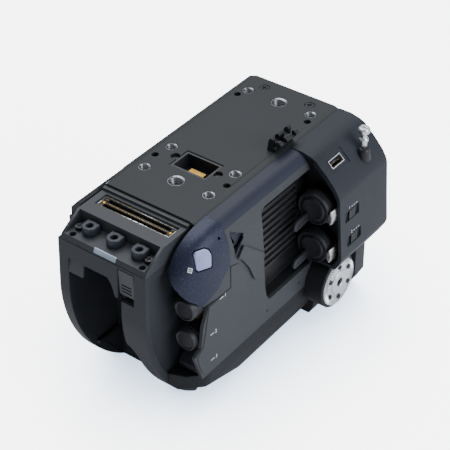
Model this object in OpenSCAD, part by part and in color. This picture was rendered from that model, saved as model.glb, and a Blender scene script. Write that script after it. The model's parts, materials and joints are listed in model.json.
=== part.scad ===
// Digital cinema camera body, carried on the shoulder and shown without handle, finder or lens.
// X is to the operator's right, Y points to the lens and Z is up. The origin lies on the base,
// below the middle of the whole object.

/* [Body] */
// Length of the body from the rear curve to the front casting
body_len = 202.3; // [196:0.1:212]
// Height of the top plate over the base
body_h = 140; // [137:0.5:150]
// Centreline to the right side wall
right_w = 54; // [52:0.5:58]
// Centreline to the left side wall
left_w = 52; // [50:0.5:56]
// Wall thickness of the shells
wall = 2.5; // [2:0.1:3]
// Height of the lower shell
base_h = 36.5; // [33:0.5:40]
// Width of the flat base
base_flat_w = 82; // [74:1:90]
// Radius of the curve at the rear
rear_r = 106; // [100:1:112]
// Setback of the base behind the rear curve
rear_foot = 45.4; // [43:0.1:46.4]
// Gap round the moving pieces
play = 0.3; // [0.25:0.05:0.5]

/* [Top plate] */
// Thickness of the top plate
plate_t = 3; // [2.5:0.1:4]
// Width of the flat top
plate_flat_w = 64; // [60:0.5:66]
// Centreline to the plate's right edge
plate_right = 36; // [35:0.5:38]
// Centreline to the plate's left edge
plate_left = 38; // [37:0.5:40]
// Spacing of the quarter-inch threads across the plate
thread_pitch_x = 50.8; // [46:0.1:54]
// Spacing of the rear quarter-inch threads along the plate
thread_pitch_y = 27.3; // [24:0.1:30]
// Front threads behind the front face
thread_front = 18.6; // [14:0.1:22]
// Rear threads behind the front face
thread_rear = 128.8; // [124:0.1:132]
// Radius of a quarter-inch thread
quarter_r = 3.175; // [3:0.005:3.3]
// Radius of a three-eighths thread
eighths_r = 4.7625; // [4.5:0.0005:5]
// Wall of a threaded insert
insert_t = 0.9; // [0.7:0.05:1]
// Length of a threaded insert
insert_len = 8; // [6:0.5:10]

/* [Rear deck and battery bay] */
// Length of the deck behind the plate
deck_len = 45.5; // [43:0.5:48]
// Drop from the plate to the connector shelf
shelf_drop = 3.5; // [3:0.1:4.5]
// Drop from the plate to the boss floor
floor_drop = 12.5; // [11:0.1:14]
// Length of the boss floor with its rear ledge
floor_len = 19.5; // [18:0.5:21]
// Spacing of the outer bosses
boss_pitch = 38.8; // [36:0.1:41]
// Centreline to the bay's left side
bay_left = 36; // [34:0.5:37]
// Centreline to the bay's right side
bay_right = 33; // [31:0.5:34]
// Depth of the bay up to the rear bulkhead
bay_len = 48; // [46.5:0.5:52]
// Width of the battery slot
slot_w = 42; // [41:0.1:43]
// Height of the battery slot
slot_h = 71; // [70:0.5:72]
// Drop from the top to the battery slot
slot_drop = 40.5; // [39.5:0.5:42]
// Centreline to the slot's left side
slot_left = 28; // [27:0.1:30]
// Travel of the battery release
lever_travel = 4; // [3:0.5:5]

/* [Right side] */
// Height over which the right shoulder curves down
shoulder_h = 39; // [34:0.5:42]
// Length over which the right shoulder curves to the rear
shoulder_len = 42; // [38:0.5:44]
// Rear of the straight side wall behind the front face
shoulder_y = 145; // [142:0.5:148]
// Reach of the input block beyond the plate
block_reach = 42.2; // [41:0.1:46]
// Height of the input block
block_h = 99.5; // [97:0.5:104]
// Length of the input block
block_len = 56.8; // [54:0.5:60]
// Depth of the input recess behind the block's rear rim
recess_d = 8; // [7:0.5:9]
// Centreline to the audio connectors
audio_x = 57.8; // [57.4:0.1:58]
// Drop from the top to the upper audio connector
audio_drop = 37.8; // [36:0.1:40]
// Spacing of the audio connectors
audio_pitch = 31; // [29:0.1:32]
// Radius of an audio cap
audio_cap_r = 11.8; // [11:0.1:12]
// Centreline to the video connectors
video_x = 43.5; // [43:0.1:44]
// Drop from the top to the upper video connector
video_drop = 50; // [48:0.5:52]
// Spacing of the video connectors
video_pitch = 24; // [21:0.5:26]
// Radius of a video cap
video_cap_r = 7.6; // [6.5:0.1:8]
// Pitch of the vent slats
slat_pitch = 5.4; // [4.8:0.1:6]
// Number of vent slats
slat_n = 12; // [8:1:12]
// Radius of the rosette
rosette_r = 17.6; // [15.9:0.1:18]
// Number of teeth on the rosette
rosette_teeth = 60; // [40:4:60]
// Rosette behind the front face
rosette_y = 43.8; // [41:0.1:46]
// Height of the rosette's axis
rosette_z = 35; // [33:0.5:36]
// Centreline to the rosette's face
rosette_x = 70; // [67:0.5:72]

/* [Front and left] */
// Thickness of the front casting
frame_t = 12; // [10:0.5:14]
// Drop from the top to the optical axis
optic_drop = 68; // [66:0.5:70]
// Height of the lens mount over the front face
mount_h = 8.7; // [7:0.1:10]
// Outer radius of the lens mount
mount_r = 31; // [29:0.1:32]
// Opening radius of the lens mount
throat_r = 22.5; // [21:0.1:24]
// Height of the body cap over the lens mount
cap_h = 6; // [5:0.1:8]
// Reach of the filter housing beyond the left wall
housing_reach = 16; // [14:0.5:18]
// Radius of the filter dial
dial_r = 17; // [14:0.5:19]
// Height of the filter dial
dial_h = 10.2; // [8:0.1:12]
// Radius of the filter turret
turret_r = 33; // [31:0.5:34]
// Radius of an audio level dial
level_r = 7; // [5.5:0.1:8]
// Radius of the fan
fan_r = 17; // [14:0.5:17.5]

/* [Hidden] */
$fn = 48;

// Overrun of every cut
over = 1;

// Places along the body
total_len = body_len + mount_h + cap_h;
rear_y = -total_len / 2;
front_y = rear_y + body_len;
frame_y = front_y - frame_t;
deck_y = rear_y + deck_len;
bulk_y = rear_y + bay_len;
bulk_t = wall;
shoulder_front = front_y - shoulder_y;
block_y = front_y - block_len;
panel_y = block_y + recess_d;
plate_z = body_h - plate_t;
shelf_z = body_h - shelf_drop;
floor_z = body_h - floor_drop;
seam_z = floor_z - 1.32 * wall;
optic_z = body_h - optic_drop;
audio_z = body_h - audio_drop;
video_z = body_h - video_drop;

// Rear curve of the body, from the seam below the deck round to the base. Its centre is as high as
// the setback of its foot asks.
rear_axis_z = sqrt(2 * rear_r * rear_foot - rear_foot * rear_foot);
arc_n = 20;
rear_lean = 2.2;
arc_end = asin(rear_axis_z / rear_r);
function rear_arc(inset) = [for (i = [0 : arc_n]) let (a = 180 + arc_end * i / arc_n)
    [rear_y + rear_r + (rear_r - inset) * cos(a), rear_axis_z + (rear_r - inset) * sin(a)]];
function rear_outline(inset, front, top) = concat([[front, top], [rear_y + inset + rear_lean, top]],
    rear_arc(inset), [[front, rear_axis_z - (rear_r - inset) * sin(arc_end)]]);

// Box between two values on each axis
module span(x, y, z) {
    translate([x[0], y[0], z[0]]) cube([x[1] - x[0], y[1] - y[0], z[1] - z[0]]);
}

// Outline in Y and Z, carried from x0 to x1
module side_run(x0, x1) {
    translate([x0, 0, 0]) rotate([90, 0, 90]) linear_extrude(x1 - x0) children();
}

// Outline in X and Z, carried from y0 to y1
module front_run(y0, y1) {
    translate([0, y1, 0]) rotate([90, 0, 0]) linear_extrude(y1 - y0) children();
}

module rod_x(r, x0, x1, y, z) {
    translate([x0, y, z]) rotate([0, 90, 0]) cylinder(r = r, h = x1 - x0);
}

module rod_y(r, y0, y1, x, z) {
    translate([x, y1, z]) rotate([90, 0, 0]) cylinder(r = r, h = y1 - y0);
}

module rod_z(r, z0, z1, x, y) {
    translate([x, y, z0]) cylinder(r = r, h = z1 - z0);
}

// Turret, sensor and chassis
axle_r = 2.4;
turret_dx = 14;
turret_dz = 14;
turret_t = 3;
turret_gap = 16;
turret_y = frame_y - bulk_t - turret_gap;
rail_w = 3.5;
rail_h = 6;
chassis_w = 36;
boss_r = 7;
tripod_gap = 32;
tripod_y = 8;
board_z = 30;
board_t = 1.6;
board_w = 40;
board_len = 84;
board_y = -46;
post_r = 3;
post_inset = 5;

module chassis() {
    color("#6b7073") difference() {
        union() {
            span([-chassis_w, chassis_w], [bulk_y, frame_y], [wall, wall + bulk_t]);
            span([-chassis_w, plate_right - wall], [bulk_y, bulk_y + bulk_t], [wall, plate_z]);
            span([-chassis_w, plate_right - wall], [frame_y - bulk_t, frame_y], [wall, plate_z]);
            for (x = [-chassis_w, plate_right - wall - rail_w])
                span([x, x + rail_w], [bulk_y, frame_y], [plate_z - rail_h, plate_z]);
            for (x = [-1, 1], y = [board_y + post_inset, board_y + board_len - post_inset])
                rod_z(post_r, wall, board_z, x * (board_w / 2 - post_inset), y);
            rod_y(axle_r, turret_y - turret_t, frame_y, -turret_dx, optic_z + turret_dz);
            rod_y(axle_r + wall, turret_y + turret_t + play, frame_y, -turret_dx, optic_z + turret_dz);
        }
        rod_y(throat_r, frame_y - bulk_t - over, frame_y + over, 0, optic_z);
        for (y = [tripod_y, tripod_y + tripod_gap]) rod_z(boss_r + play, -over, wall + bulk_t + over, 0, y);
        for (p = eighths_places()) rod_z(big_r + play, body_h - insert_len - wall, body_h, p[0], p[1]);
        for (p = quarter_places()) rod_z(sunk_r + play, body_h - insert_len - wall, body_h, p[0], p[1]);
    }
}

// Top plate with its threads, sockets and screws
bevel_h = 2.4;
taper_len = 23;
taper_w = 5;
pin_r = 2.3;
pin_dx = 28.5;
pin_y = [26.9, 114.6];
screw_dx = 18.5;
screw_y = 9.4;
screw_r = 3.5;
screw_h = 1.6;
socket_y = 108.3;
socket_w = 29;
socket_len = 19;
socket_wall = 1.6;
socket_depth = 9;
ear_r = 3;
ear_dx = 17;
clamp_x = [26, 38];
clamp_y = 58.8;
clamp_len = 20;
clamp_h = 10;
plate_y0 = deck_y;
sunk_r = quarter_r + insert_t;
big_r = eighths_r + insert_t;
function quarter_places() = [for (s = [-1, 1], y = [thread_front, thread_rear - thread_pitch_y, thread_rear])
    [s * thread_pitch_x / 2, front_y - y]];
function eighths_places() = [for (y = [thread_front, thread_rear]) [0, front_y - y]];

module top_plate() {
    color("#4b4f51") difference() {
        intersection() {
            front_run(plate_y0, front_y) polygon([[-plate_left, plate_z],
                [-plate_left, body_h - bevel_h], [-plate_flat_w / 2, body_h], [plate_flat_w / 2, body_h],
                [plate_right, body_h - bevel_h / 2], [plate_right, plate_z]]);
            translate([0, 0, plate_z - over]) linear_extrude(plate_t + 2 * over)
                polygon([[-plate_left + taper_w, plate_y0], [-plate_left, plate_y0 + taper_len],
                    [-plate_left, front_y], [plate_right, front_y], [plate_right, plate_y0]]);
        }
        for (p = quarter_places()) rod_z(sunk_r, plate_z - over, body_h + over, p[0], p[1]);
        for (p = eighths_places()) rod_z(big_r, plate_z - over, body_h + over, p[0], p[1]);
        for (s = [-1, 1], y = pin_y) rod_z(pin_r, plate_z - over, body_h + over, s * pin_dx, front_y - y);
        for (s = [-1, 1]) rod_z(screw_r, body_h - screw_h, body_h + over, s * screw_dx, front_y - screw_y);
        socket_hole(0);
    }
}

// Opening of the handle socket, with an ear for a screw at each side
module socket_hole(inset) {
    span([-socket_w / 2 + inset, socket_w / 2 - inset],
        [front_y - socket_y - socket_len / 2 + inset, front_y - socket_y + socket_len / 2 - inset],
        [plate_z - over, body_h + over]);
    for (s = [-1, 1]) rod_z(ear_r - inset, plate_z - over, body_h + over, s * ear_dx, front_y - socket_y);
}

module insert(r, z1, x, y) {
    difference() {
        rod_z(r + insert_t, z1 - insert_len, z1, x, y);
        rod_z(r, z1 - insert_len - over, z1 + over, x, y);
    }
}

module quarter_inch_inserts() {
    color("#c9ccce") for (p = quarter_places()) insert(quarter_r, body_h - play, p[0], p[1]);
}

module three_eighths_inserts() {
    color("#c9ccce") for (p = eighths_places()) insert(eighths_r, body_h - play, p[0], p[1]);
}

module handle_socket() {
    top = body_h - 2 * play;
    w = socket_w / 2;
    l = socket_len / 2;
    y = front_y - socket_y;
    color("#505457") union() {
        difference() {
            span([-w + play, w - play], [y - l + play, y + l - play], [plate_z - socket_depth, top]);
            span([-w + play + socket_wall, w - play - socket_wall],
                [y - l + play + socket_wall, y + l - play - socket_wall],
                [plate_z - socket_depth + socket_wall, top + over]);
        }
        for (s = [-1, 1]) rod_z(ear_r - play, plate_z - socket_depth / 2, plate_z + screw_h / 2, s * ear_dx, y);
    }
}

module cable_clamp() {
    y = [front_y - clamp_y - clamp_len / 2, front_y - clamp_y + clamp_len / 2];
    w = clamp_x[1] - clamp_x[0];
    color("#26292c") difference() {
        front_run(y[0], y[1]) polygon([[clamp_x[0], body_h], [clamp_x[0] + w * 0.1, body_h + clamp_h * 0.8],
            [clamp_x[0] + w * 0.25, body_h + clamp_h], [clamp_x[0] + w * 0.4, body_h + clamp_h * 0.9],
            [clamp_x[0] + w * 0.38, body_h + clamp_h * 0.3], [clamp_x[0] + w * 0.6, body_h + clamp_h * 0.3],
            [clamp_x[0] + w * 0.6, body_h + clamp_h * 0.85], [clamp_x[0] + w * 0.75, body_h + clamp_h * 0.9],
            [clamp_x[0] + w * 0.95, body_h + clamp_h * 0.7], [plate_flat_w / 2, body_h]]);
        for (i = [-1, 1]) span([clamp_x[0] - over, clamp_x[1] + over],
            [front_y - clamp_y + (i - 0.4) * clamp_len / 4, front_y - clamp_y + (i + 0.4) * clamp_len / 4],
            [body_h + clamp_h * 0.55, body_h + clamp_h + over]);
    }
}

// Rear deck: connector shelf, boss floor and ledge
deck_w = [-bay_left + 2, bay_right];
ledge_len = 4;
shelf_y = rear_y + floor_len;
lip_len = 3;
lip_h = 1.9;
port_w = 58;
port_y = 35;
port_len = 11;
port_d = 6.5;
boss_y = 13.7;
boss_top = 6.6;
boss_w = 10;
boss_len = 9;
boss_bore_r = 2.1;
deck_screw_dx = 27.3;
deck_screw_y = 13;
tally_w = 17.5;
tally_x = 0.75;
tally_h = 3;
tally_t = 1.2;
cheek_t = 2;

module rear_deck() {
    under = plate_z;
    color("#494d4f") difference() {
        union() {
            side_run(deck_w[0], deck_w[1]) polygon([[rear_y + rear_lean, seam_z],
                [rear_y + ledge_len, floor_z], [shelf_y, floor_z], [shelf_y, shelf_z],
                [deck_y - lip_len, shelf_z], [deck_y - lip_len, shelf_z + lip_h], [deck_y, shelf_z + lip_h],
                [deck_y, under], [bulk_y, under], [bulk_y, seam_z]]);
            for (x = [deck_w[0], deck_w[1] - cheek_t]) side_run(x, x + cheek_t)
                polygon([[rear_y + ledge_len, floor_z], [shelf_y, shelf_z], [shelf_y, floor_z]]);
        }
        span([-port_w / 2, port_w / 2], [rear_y + port_y - port_len / 2, rear_y + port_y + port_len / 2],
            [shelf_z - port_d, shelf_z + over]);
        for (s = [-1, 0, 1]) rod_z(boss_bore_r, seam_z - over, floor_z + over,
            s * boss_pitch / 2, rear_y + boss_y);
        for (s = [-1, 1]) rod_z(boss_bore_r, seam_z - over, floor_z + over,
            s * deck_screw_dx, rear_y + deck_screw_y - boss_len * 0.7);
        span([tally_x - tally_w / 2, tally_x + tally_w / 2], [rear_y, rear_y + ledge_len + tally_t],
            [floor_z - tally_h, floor_z + over]);
    }
}

module tally_lens() {
    color("#dfe6ea") side_run(tally_x - tally_w / 2, tally_x + tally_w / 2)
        polygon([[rear_y + ledge_len - tally_t, floor_z - tally_h], [rear_y + ledge_len, floor_z],
            [rear_y + ledge_len + tally_t, floor_z], [rear_y + ledge_len + tally_t, floor_z - tally_h]]);
}

module deck_bosses() {
    color("#54585a") for (s = [-1, 0, 1]) translate([s * boss_pitch / 2, rear_y + boss_y, 0]) difference() {
        union() {
            rod_z(boss_w / 2, floor_z, body_h - boss_top, 0, 0);
            span([-boss_w / 2, boss_w / 2], [0, boss_len / 2], [floor_z, body_h - boss_top]);
        }
        rod_z(boss_bore_r, floor_z - over, body_h, 0, 0);
    }
}

module expansion_connector() {
    w = port_w - 2 * play;
    y = [rear_y + port_y - port_len / 2 + play, rear_y + port_y + port_len / 2 - play];
    color("#c4c7c8") difference() {
        span([-w / 2, w / 2], y, [shelf_z - port_d, shelf_z - port_d * 0.25]);
        for (i = [0, 1]) span([-w * 0.43, w * 0.43],
            [y[0] + (y[1] - y[0]) * (0.14 + i * 0.46), y[0] + (y[1] - y[0]) * (0.4 + i * 0.46)],
            [shelf_z - port_d * 0.75, shelf_z]);
    }
}

contact_n = 24;
contact_h = 1.2;

// Contacts of the expansion connector and of the handle socket
module contact_strips() {
    w = port_w - 2 * play;
    y0 = rear_y + port_y - port_len / 2 + play;
    l = port_len - 2 * play;
    color("#c9a24a") union() {
        for (j = [0, 1], i = [0 : contact_n - 1])
            span([-w * 0.4 + w * 0.8 * i / contact_n, -w * 0.4 + w * 0.8 * (i + 0.6) / contact_n],
                [y0 + l * (0.2 + j * 0.46), y0 + l * (0.34 + j * 0.46)],
                [shelf_z - port_d * 0.75, shelf_z - port_d * 0.75 + contact_h]);
        span([-socket_w / 5, socket_w / 5], [front_y - socket_y - socket_len / 8,
            front_y - socket_y + socket_len / 8],
            [plate_z - socket_depth + socket_wall, plate_z - socket_wall * 2.2]);
    }
}

// Battery bay with its slot, finger recess and lever niche
slot_z = body_h - slot_drop - slot_h;
lever_x = [11.8, 23.5];
lever_h = 18.5;
lever_t = 4;
niche_t = 5;
recess_x = 3;
recess_h = 12;
guide_x = [-27.5, -14];
guide_t = 2;
flare_w = 6.5;
flare_h = 34;
rim_w = 5;
rim_d = 1.2;
pocket_z = base_h - 2.5;
hood_drop = 22;
hood_h = body_h - hood_drop;
lever_z = seam_z - niche_t / 2;

module battery_bay() {
    x1 = slot_w - slot_left;
    top = slot_z + slot_h;
    color("#4e5254") span(guide_x, [rear_y + slot_w / 2 - guide_t, rear_y + slot_w / 2], [top, top + recess_h]);
    color("#4e5254") difference() {
        side_run(-bay_left, bay_right) polygon(rear_outline(0, bulk_y, seam_z));
        span([-slot_left, x1], [rear_y - over, bulk_y - wall], [-over, top]);
        front_run(rear_y - over, rear_y + slot_w / 2) polygon([[-slot_left, top - over],
            [-slot_left, top + recess_h], [recess_x, top + recess_h], [recess_x * 2, top + recess_h * 0.7],
            [recess_x * 3, top], [recess_x * 3, top - over]]);
        front_run(rear_y - over, rear_y + slot_w * 0.8) polygon([[x1 - over, -over],
            [x1 - over, slot_z + flare_h], [x1, slot_z + flare_h], [x1 + flare_w / 2, slot_z + flare_h * 0.95],
            [x1 + flare_w, slot_z + flare_h * 0.75], [x1 + flare_w * 1.5, 0], [x1 + flare_w * 1.5, -over]]);
        span([lever_x[0] - play, lever_x[1] + play], [rear_y - over, rear_y + niche_t + rear_lean],
            [lever_z - lever_h - lever_travel - play, lever_z + play]);
        span([x1 + flare_w + wall, bay_right - wall - rim_d], [rear_y + slot_w * 0.8, bulk_y - wall],
            [slot_z, top]);
        side_run(bay_right - rim_d, bay_right + over) intersection() {
            polygon(rear_outline(rim_w, bulk_y + over, hood_h));
            translate([rear_y, pocket_z]) square([bay_len + over, hood_h - pocket_z]);
        }
        latch_hole();
    }
}

latch_w = 6;
latch_z = slot_z + slot_h * 0.3;
latch_reach = 4;
latch_len = 8;
latch_y = bulk_y - bay_len * 0.28;

// Window for the latch in the wall of the battery slot
module latch_hole() {
    x1 = slot_w - slot_left;
    span([x1 - over, x1 + flare_w + wall + over], [latch_y - play, latch_y + latch_len + play],
        [latch_z - play, latch_z + latch_w + play]);
}

module battery_lever() {
    color("#3d4143") difference() {
        span(lever_x, [rear_y + rear_lean, rear_y + rear_lean + lever_t], [lever_z - lever_h, lever_z]);
        for (i = [1 : 3]) span([lever_x[0] + lever_t / 2, lever_x[1] - lever_t / 2],
            [rear_y, rear_y + rear_lean + lever_t / 6],
            [lever_z - lever_h + i * lever_t * 0.6, lever_z - lever_h + (i + 0.4) * lever_t * 0.6]);
    }
}

module battery_latch() {
    x1 = slot_w - slot_left;
    color("#b9bcbd") front_run(latch_y, latch_y + latch_len) polygon([[x1 - latch_reach * 0.6, latch_z],
        [x1 + flare_w + wall, latch_z], [x1 + flare_w + wall, latch_z + latch_w], [x1, latch_z + latch_w]]);
}

terminal_t = 5;

module battery_terminal() {
    y = bulk_y - wall;
    color("#1f2225") union() {
        difference() {
            span([-slot_left + wall, -slot_left + slot_w * 0.75], [y - terminal_t, y],
                [slot_z + slot_h * 0.1, slot_z + slot_h * 0.45]);
            for (i = [0 : 3]) span([-slot_left + wall * 2 + i * slot_w * 0.16,
                -slot_left + wall * 2 + slot_w * (0.05 + i * 0.16)], [y - terminal_t - over, y - terminal_t / 2],
                [slot_z + slot_h * 0.18, slot_z + slot_h * 0.38]);
        }
        span([-slot_left, -slot_left + wall], [y - slot_w * 0.6, y], [slot_z, slot_z + wall]);
        span([-slot_left, -slot_left + wall], [y - terminal_t, y],
            [slot_z + wall, slot_z + slot_h * 0.45]);
    }
}

// Right shoulder: one section curve, which shrinks towards the rear
shoulder_n = 9;
section_power = 3.2;
length_power = 2.5;
edge_drop = 1;
shoulder_z = body_h - edge_drop - shoulder_h;
shoulder_w = right_w - plate_right;
function curve(a) = [pow(sin(a), 2 / section_power), pow(cos(a), 2 / section_power)];
function shoulder_curve(inset, s) = [for (i = [0 : shoulder_n]) let (c = curve(90 * i / shoulder_n))
    [plate_right + (shoulder_w * s - inset) * c[0], shoulder_z + (shoulder_h * s - inset) * c[1]]];
function reversed(v) = [for (i = [len(v) - 1 : -1 : 0]) v[i]];

// Right side shell with the vent opening, finger notch and jack niche
pocket_edge_shares = [[0, 0], [0, 1], [0.58, 1], [0.73, 0.76], [0.8, 0.47], [0.97, 0.41], [0.91, 0.27],
    [0.84, 0.13], [0.78, 0]];
side_rear_len = 38.4;
side_rear_drop = 49;
side_rear_h = body_h - side_rear_drop - base_h;
vent_len = 56;
vent_drop = [87, 11];
vent_z = [body_h - vent_drop[0], body_h - vent_drop[1]];
vent_shares = [[0.03, 0.93], [0.03, 0.8], [0.08, 0.17], [0.11, 0.06], [0.17, 0], [1.1, 0], [1.1, 1],
    [0.12, 1], [0.05, 0.98]];
vent_y = block_y - vent_len;
notch_d = 3;
notch_y = -49;
notch_drop = 27;
notch_z = body_h - notch_drop;
notch_w = 13;
notch_h = 19;
jack_r = 3.2;
jack_y = [-34, -26];
jack_drop = [37, 46];
jack_z = [body_h - jack_drop[0], body_h - jack_drop[1]];

module right_shell() {
    color("#5b5f61") difference() {
        union() {
            front_run(shoulder_front, block_y) polygon(concat(shoulder_curve(0, 1),
                [[right_w, base_h], [right_w - wall, base_h]], reversed(shoulder_curve(wall, 1))));
            side_run(right_w - wall, right_w) polygon([for (p = pocket_edge_shares)
                [shoulder_front - p[0] * side_rear_len, base_h + p[1] * side_rear_h]]);
            span([right_w - wall, right_w], [shoulder_front - over, shoulder_front + over],
                [base_h, base_h + side_rear_h]);
        }
        side_run(right_w - shoulder_w * 0.6, right_w + over) polygon([for (p = vent_shares)
            [vent_y + p[0] * vent_len, vent_z[0] + p[1] * (vent_z[1] - vent_z[0])]]);
        side_run(right_w - notch_d, right_w + over) polygon([[notch_y, notch_z + notch_h],
            [notch_y + notch_w, notch_z + notch_h * 0.55], [notch_y + notch_w * 0.25, notch_z]]);
        for (i = [0, 1]) rod_x(jack_r, right_w - wall - over, right_w + over, jack_y[i], jack_z[i]);
    }
}

label_t = 1;
label_shares = [[0.36, 0.99], [0.36, 0.76], [0, 0.75], [-0.07, 0.49], [-0.11, 0.36], [-0.21, 0.3],
    [-0.18, 0.18], [-0.14, 0.09], [-0.07, 0.01], [0.38, 0.01], [0.46, 0.09], [0.67, 0.1], [0.73, 0.16],
    [0.72, 0.4], [0.67, 0.67], [0.59, 0.84], [0.48, 0.96]];
label_len = 61;
label_drop = 31.5;
label_h = body_h - label_drop - base_h;
label_y = -73.3;

module label_panel() {
    color("#5f6365") side_run(right_w, right_w + label_t) polygon([for (p = label_shares)
        [label_y + p[0] * label_len, base_h + p[1] * label_h]]);
}

door_t = 1.2;
door_gap = 0.4;
door_shares = [[-45, 1.0278], [-39, 1.1181], [-17.5, 0.8472], [-19, 0.7708], [-27.5, 0.6319], [-34, 0.8333],
    [-41, 0.9792]];
door_points = [for (p = door_shares) [p[0], base_h + p[1] * label_h]];

// Cover over the side sockets, hinged at its lower front edge
module jack_door() {
    color("#5a5e60") side_run(right_w + door_gap, right_w + door_gap + door_t) polygon(door_points);
}

// Right shoulder panel: an inner and an outer grid of points, closed round its border
panel_rows = 14;
panel_cut_shares = [[0, -0.03], [0.44, 0.54], [0.78, 1.15], [0.89, 1.46], [1.2, 1.46], [1.2, -1.2],
    [0, -1.2]];
skirt_h = 10;
function panel_row(inset, j) = let (t = 90 * j / panel_rows, u = pow(sin(t), 2 / length_power),
    s = pow(cos(t), 2 / length_power))
    [for (c = [for (i = [0 : shoulder_n]) curve(90 * i / shoulder_n)])
        [plate_right + (shoulder_w - inset) * max(s, 0.02) * c[0], shoulder_front - (shoulder_len - inset) * u,
        shoulder_z + (shoulder_h - inset) * max(s, 0.02) * c[1]]];
function panel_points(inset) = [for (j = [0 : panel_rows], p = panel_row(inset, j)) p];

function panel_plan(inset) = concat([[plate_right, shoulder_front]],
    [for (j = [0 : panel_rows]) let (p = panel_row(inset, j)[shoulder_n]) [p[0], p[1]]],
    [[plate_right, shoulder_front - shoulder_len + inset]]);

module shoulder_solid(inset) {
    shoulder_cap(inset);
    translate([0, 0, shoulder_z - skirt_h]) linear_extrude(skirt_h) polygon(panel_plan(inset));
}

module shoulder_cap(inset) {
    m = shoulder_n + 1;
    n = panel_rows + 1;
    core = [for (j = [0 : panel_rows]) let (p = panel_row(inset, j)[shoulder_n]) [plate_right, p[1], shoulder_z]];
    polyhedron(points = concat(panel_points(inset), core), faces = concat(
        [for (j = [0 : n - 2], i = [0 : m - 2]) each [[j * m + i, j * m + i + 1, (j + 1) * m + i],
            [j * m + i + 1, (j + 1) * m + i + 1, (j + 1) * m + i]]],
        [for (j = [0 : n - 2]) each [[j * m + m - 1, m * n + j, (j + 1) * m + m - 1],
            [m * n + j, m * n + j + 1, (j + 1) * m + m - 1]]],
        [for (j = [0 : n - 2]) each [[m * n + j, j * m, (j + 1) * m], [m * n + j, (j + 1) * m, m * n + j + 1]]],
        [for (i = [0 : m - 2]) [m * n, i + 1, i]],
        [for (i = [0 : m - 2]) [m * n + n - 1, (n - 1) * m + i, (n - 1) * m + i + 1]]));
}

// Assign button: its outline stands square to the shoulder at its middle
button_drop = 14.7;
button_at = [49.6, -72.5, body_h - button_drop];
button_turn = -28;
button_tilt = -38;
button_w = 12.5;
button_h = 13;
button_skin = 0.5;
led_drop = 8;
led_at = [50.5, -57.5, body_h - led_drop];
led_r = 0.9;

module button_prism(gap) {
    w = button_w / 2 + gap;
    h = button_h / 2 + gap;
    translate(button_at) rotate([0, button_tilt, button_turn]) side_run(-button_w, button_w)
        polygon([[-w, -h * 0.75], [-w, h * 0.7], [-w * 0.75, h * 0.95], [w * 0.3, h], [w * 0.75, h * 0.75],
            [w, h * 0.25], [w * 0.9, -h * 0.9], [w * 0.75, -h], [-w * 0.8, -h]]);
}

module led_hole() {
    translate(led_at) rotate([0, button_tilt, button_turn]) rod_x(led_r, -wall * 3, wall * 3, 0, 0);
}

module panel_zone() {
    front_run(shoulder_front - shoulder_len - over, shoulder_front) polygon([for (p = panel_cut_shares)
        [plate_right + p[0] * shoulder_w, shoulder_z + (1 - p[1]) * shoulder_h / 2]]);
}

module shoulder_panel() {
    color("#3d4359") difference() {
        intersection() {
            shoulder_solid(0);
            panel_zone();
        }
        shoulder_solid(wall);
        button_prism(play);
        led_hole();
    }
}

module assign_button() {
    color("#9aa3cf") difference() {
        intersection() {
            shoulder_solid(-button_skin);
            button_prism(0);
        }
        shoulder_solid(wall);
    }
}

// Rear pocket: bracket with the video connectors, their caps and the digital port's cover
io_x = [plate_right - wall, right_w - wall * 1.2];
video_barrel_r = 4.8;
video_ring_r = 7.9;
video_ring_t = 3;
video_face = 24.5;
video_cap_len = 14;
video_barrel_len = 20;
pull = 6;
tether_t = 1.6;
tether_w = 4;
pin_r2 = 1.3;
tether_dx = 7;
tether_dz = 8.5;
port_cover_w = 15;
port_cover_shares = [[0, 0], [1, 0], [1.08, 0.3], [0.3, 1], [0, 1]];
port_cover_len = 19;
port_cover_h = video_z - video_pitch - video_ring_r - base_h - wall;
function video_height(i) = video_z - i * video_pitch;

module io_bracket() {
    color("#202327") difference() {
        span(io_x, [bulk_y, bulk_y + wall], [base_h, hood_h - wall]);
        for (i = [0, 1]) {
            rod_y(video_barrel_r, bulk_y - over, bulk_y + wall + over, video_x, video_height(i));
            rod_y(pin_r2 + play, bulk_y - over, bulk_y + wall + over, video_x - tether_dx,
                video_height(i) + tether_dz);
        }
        for (i = [0 : 2]) span([io_x[0] + wall * (i + 1), io_x[0] + wall * (i + 1.5)],
            [bulk_y - over, bulk_y + wall / 3], [base_h + port_cover_h + wall, hood_h - wall * 4]);
    }
}

module video_connectors() {
    color("#b9a46a") for (i = [0, 1]) difference() {
        union() {
            rod_y(video_barrel_r, bulk_y - video_barrel_len, bulk_y + wall, video_x, video_height(i));
            rod_y(video_ring_r, bulk_y - video_ring_t, bulk_y, video_x, video_height(i));
        }
        rod_y(video_barrel_r * 0.7, bulk_y - video_barrel_len - over, bulk_y - video_ring_t, video_x,
            video_height(i));
    }
}

// Rubber cap with its tether and the pin that holds the tether in the panel
module tethered_cap(r, bore_r, bore_len, len, x, z, face, dx, dz, back) {
    difference() {
        union() {
            rod_y(r, face, face + len, x, z);
            intersection() {
                hull() {
                    rod_y(tether_w / 2, face + len - tether_t, face + len, x, z, $fn = 24);
                    rod_y(tether_w / 2, face + len - tether_t, face + len, x + dx, z + dz, $fn = 24);
                }
                span([x - r * 3, x + r * 3], [face + len - tether_t, face + len], [z - r * 3, z + r * 3]);
            }
            rod_y(pin_r2, face + len - tether_t, back, x + dx, z + dz);
        }
        rod_y(bore_r, face + len - bore_len, face + len + over, x, z);
    }
}

module video_cap(i) {
    color("#23272b") tethered_cap(video_cap_r, video_barrel_r + play, video_cap_len - wall, video_cap_len,
        video_x, video_height(i), bulk_y - video_face, -tether_dx, tether_dz,
        bulk_y + wall + pull);
}

module video_cap_1() {
    video_cap(0);
}

module video_cap_2() {
    video_cap(1);
}

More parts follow.
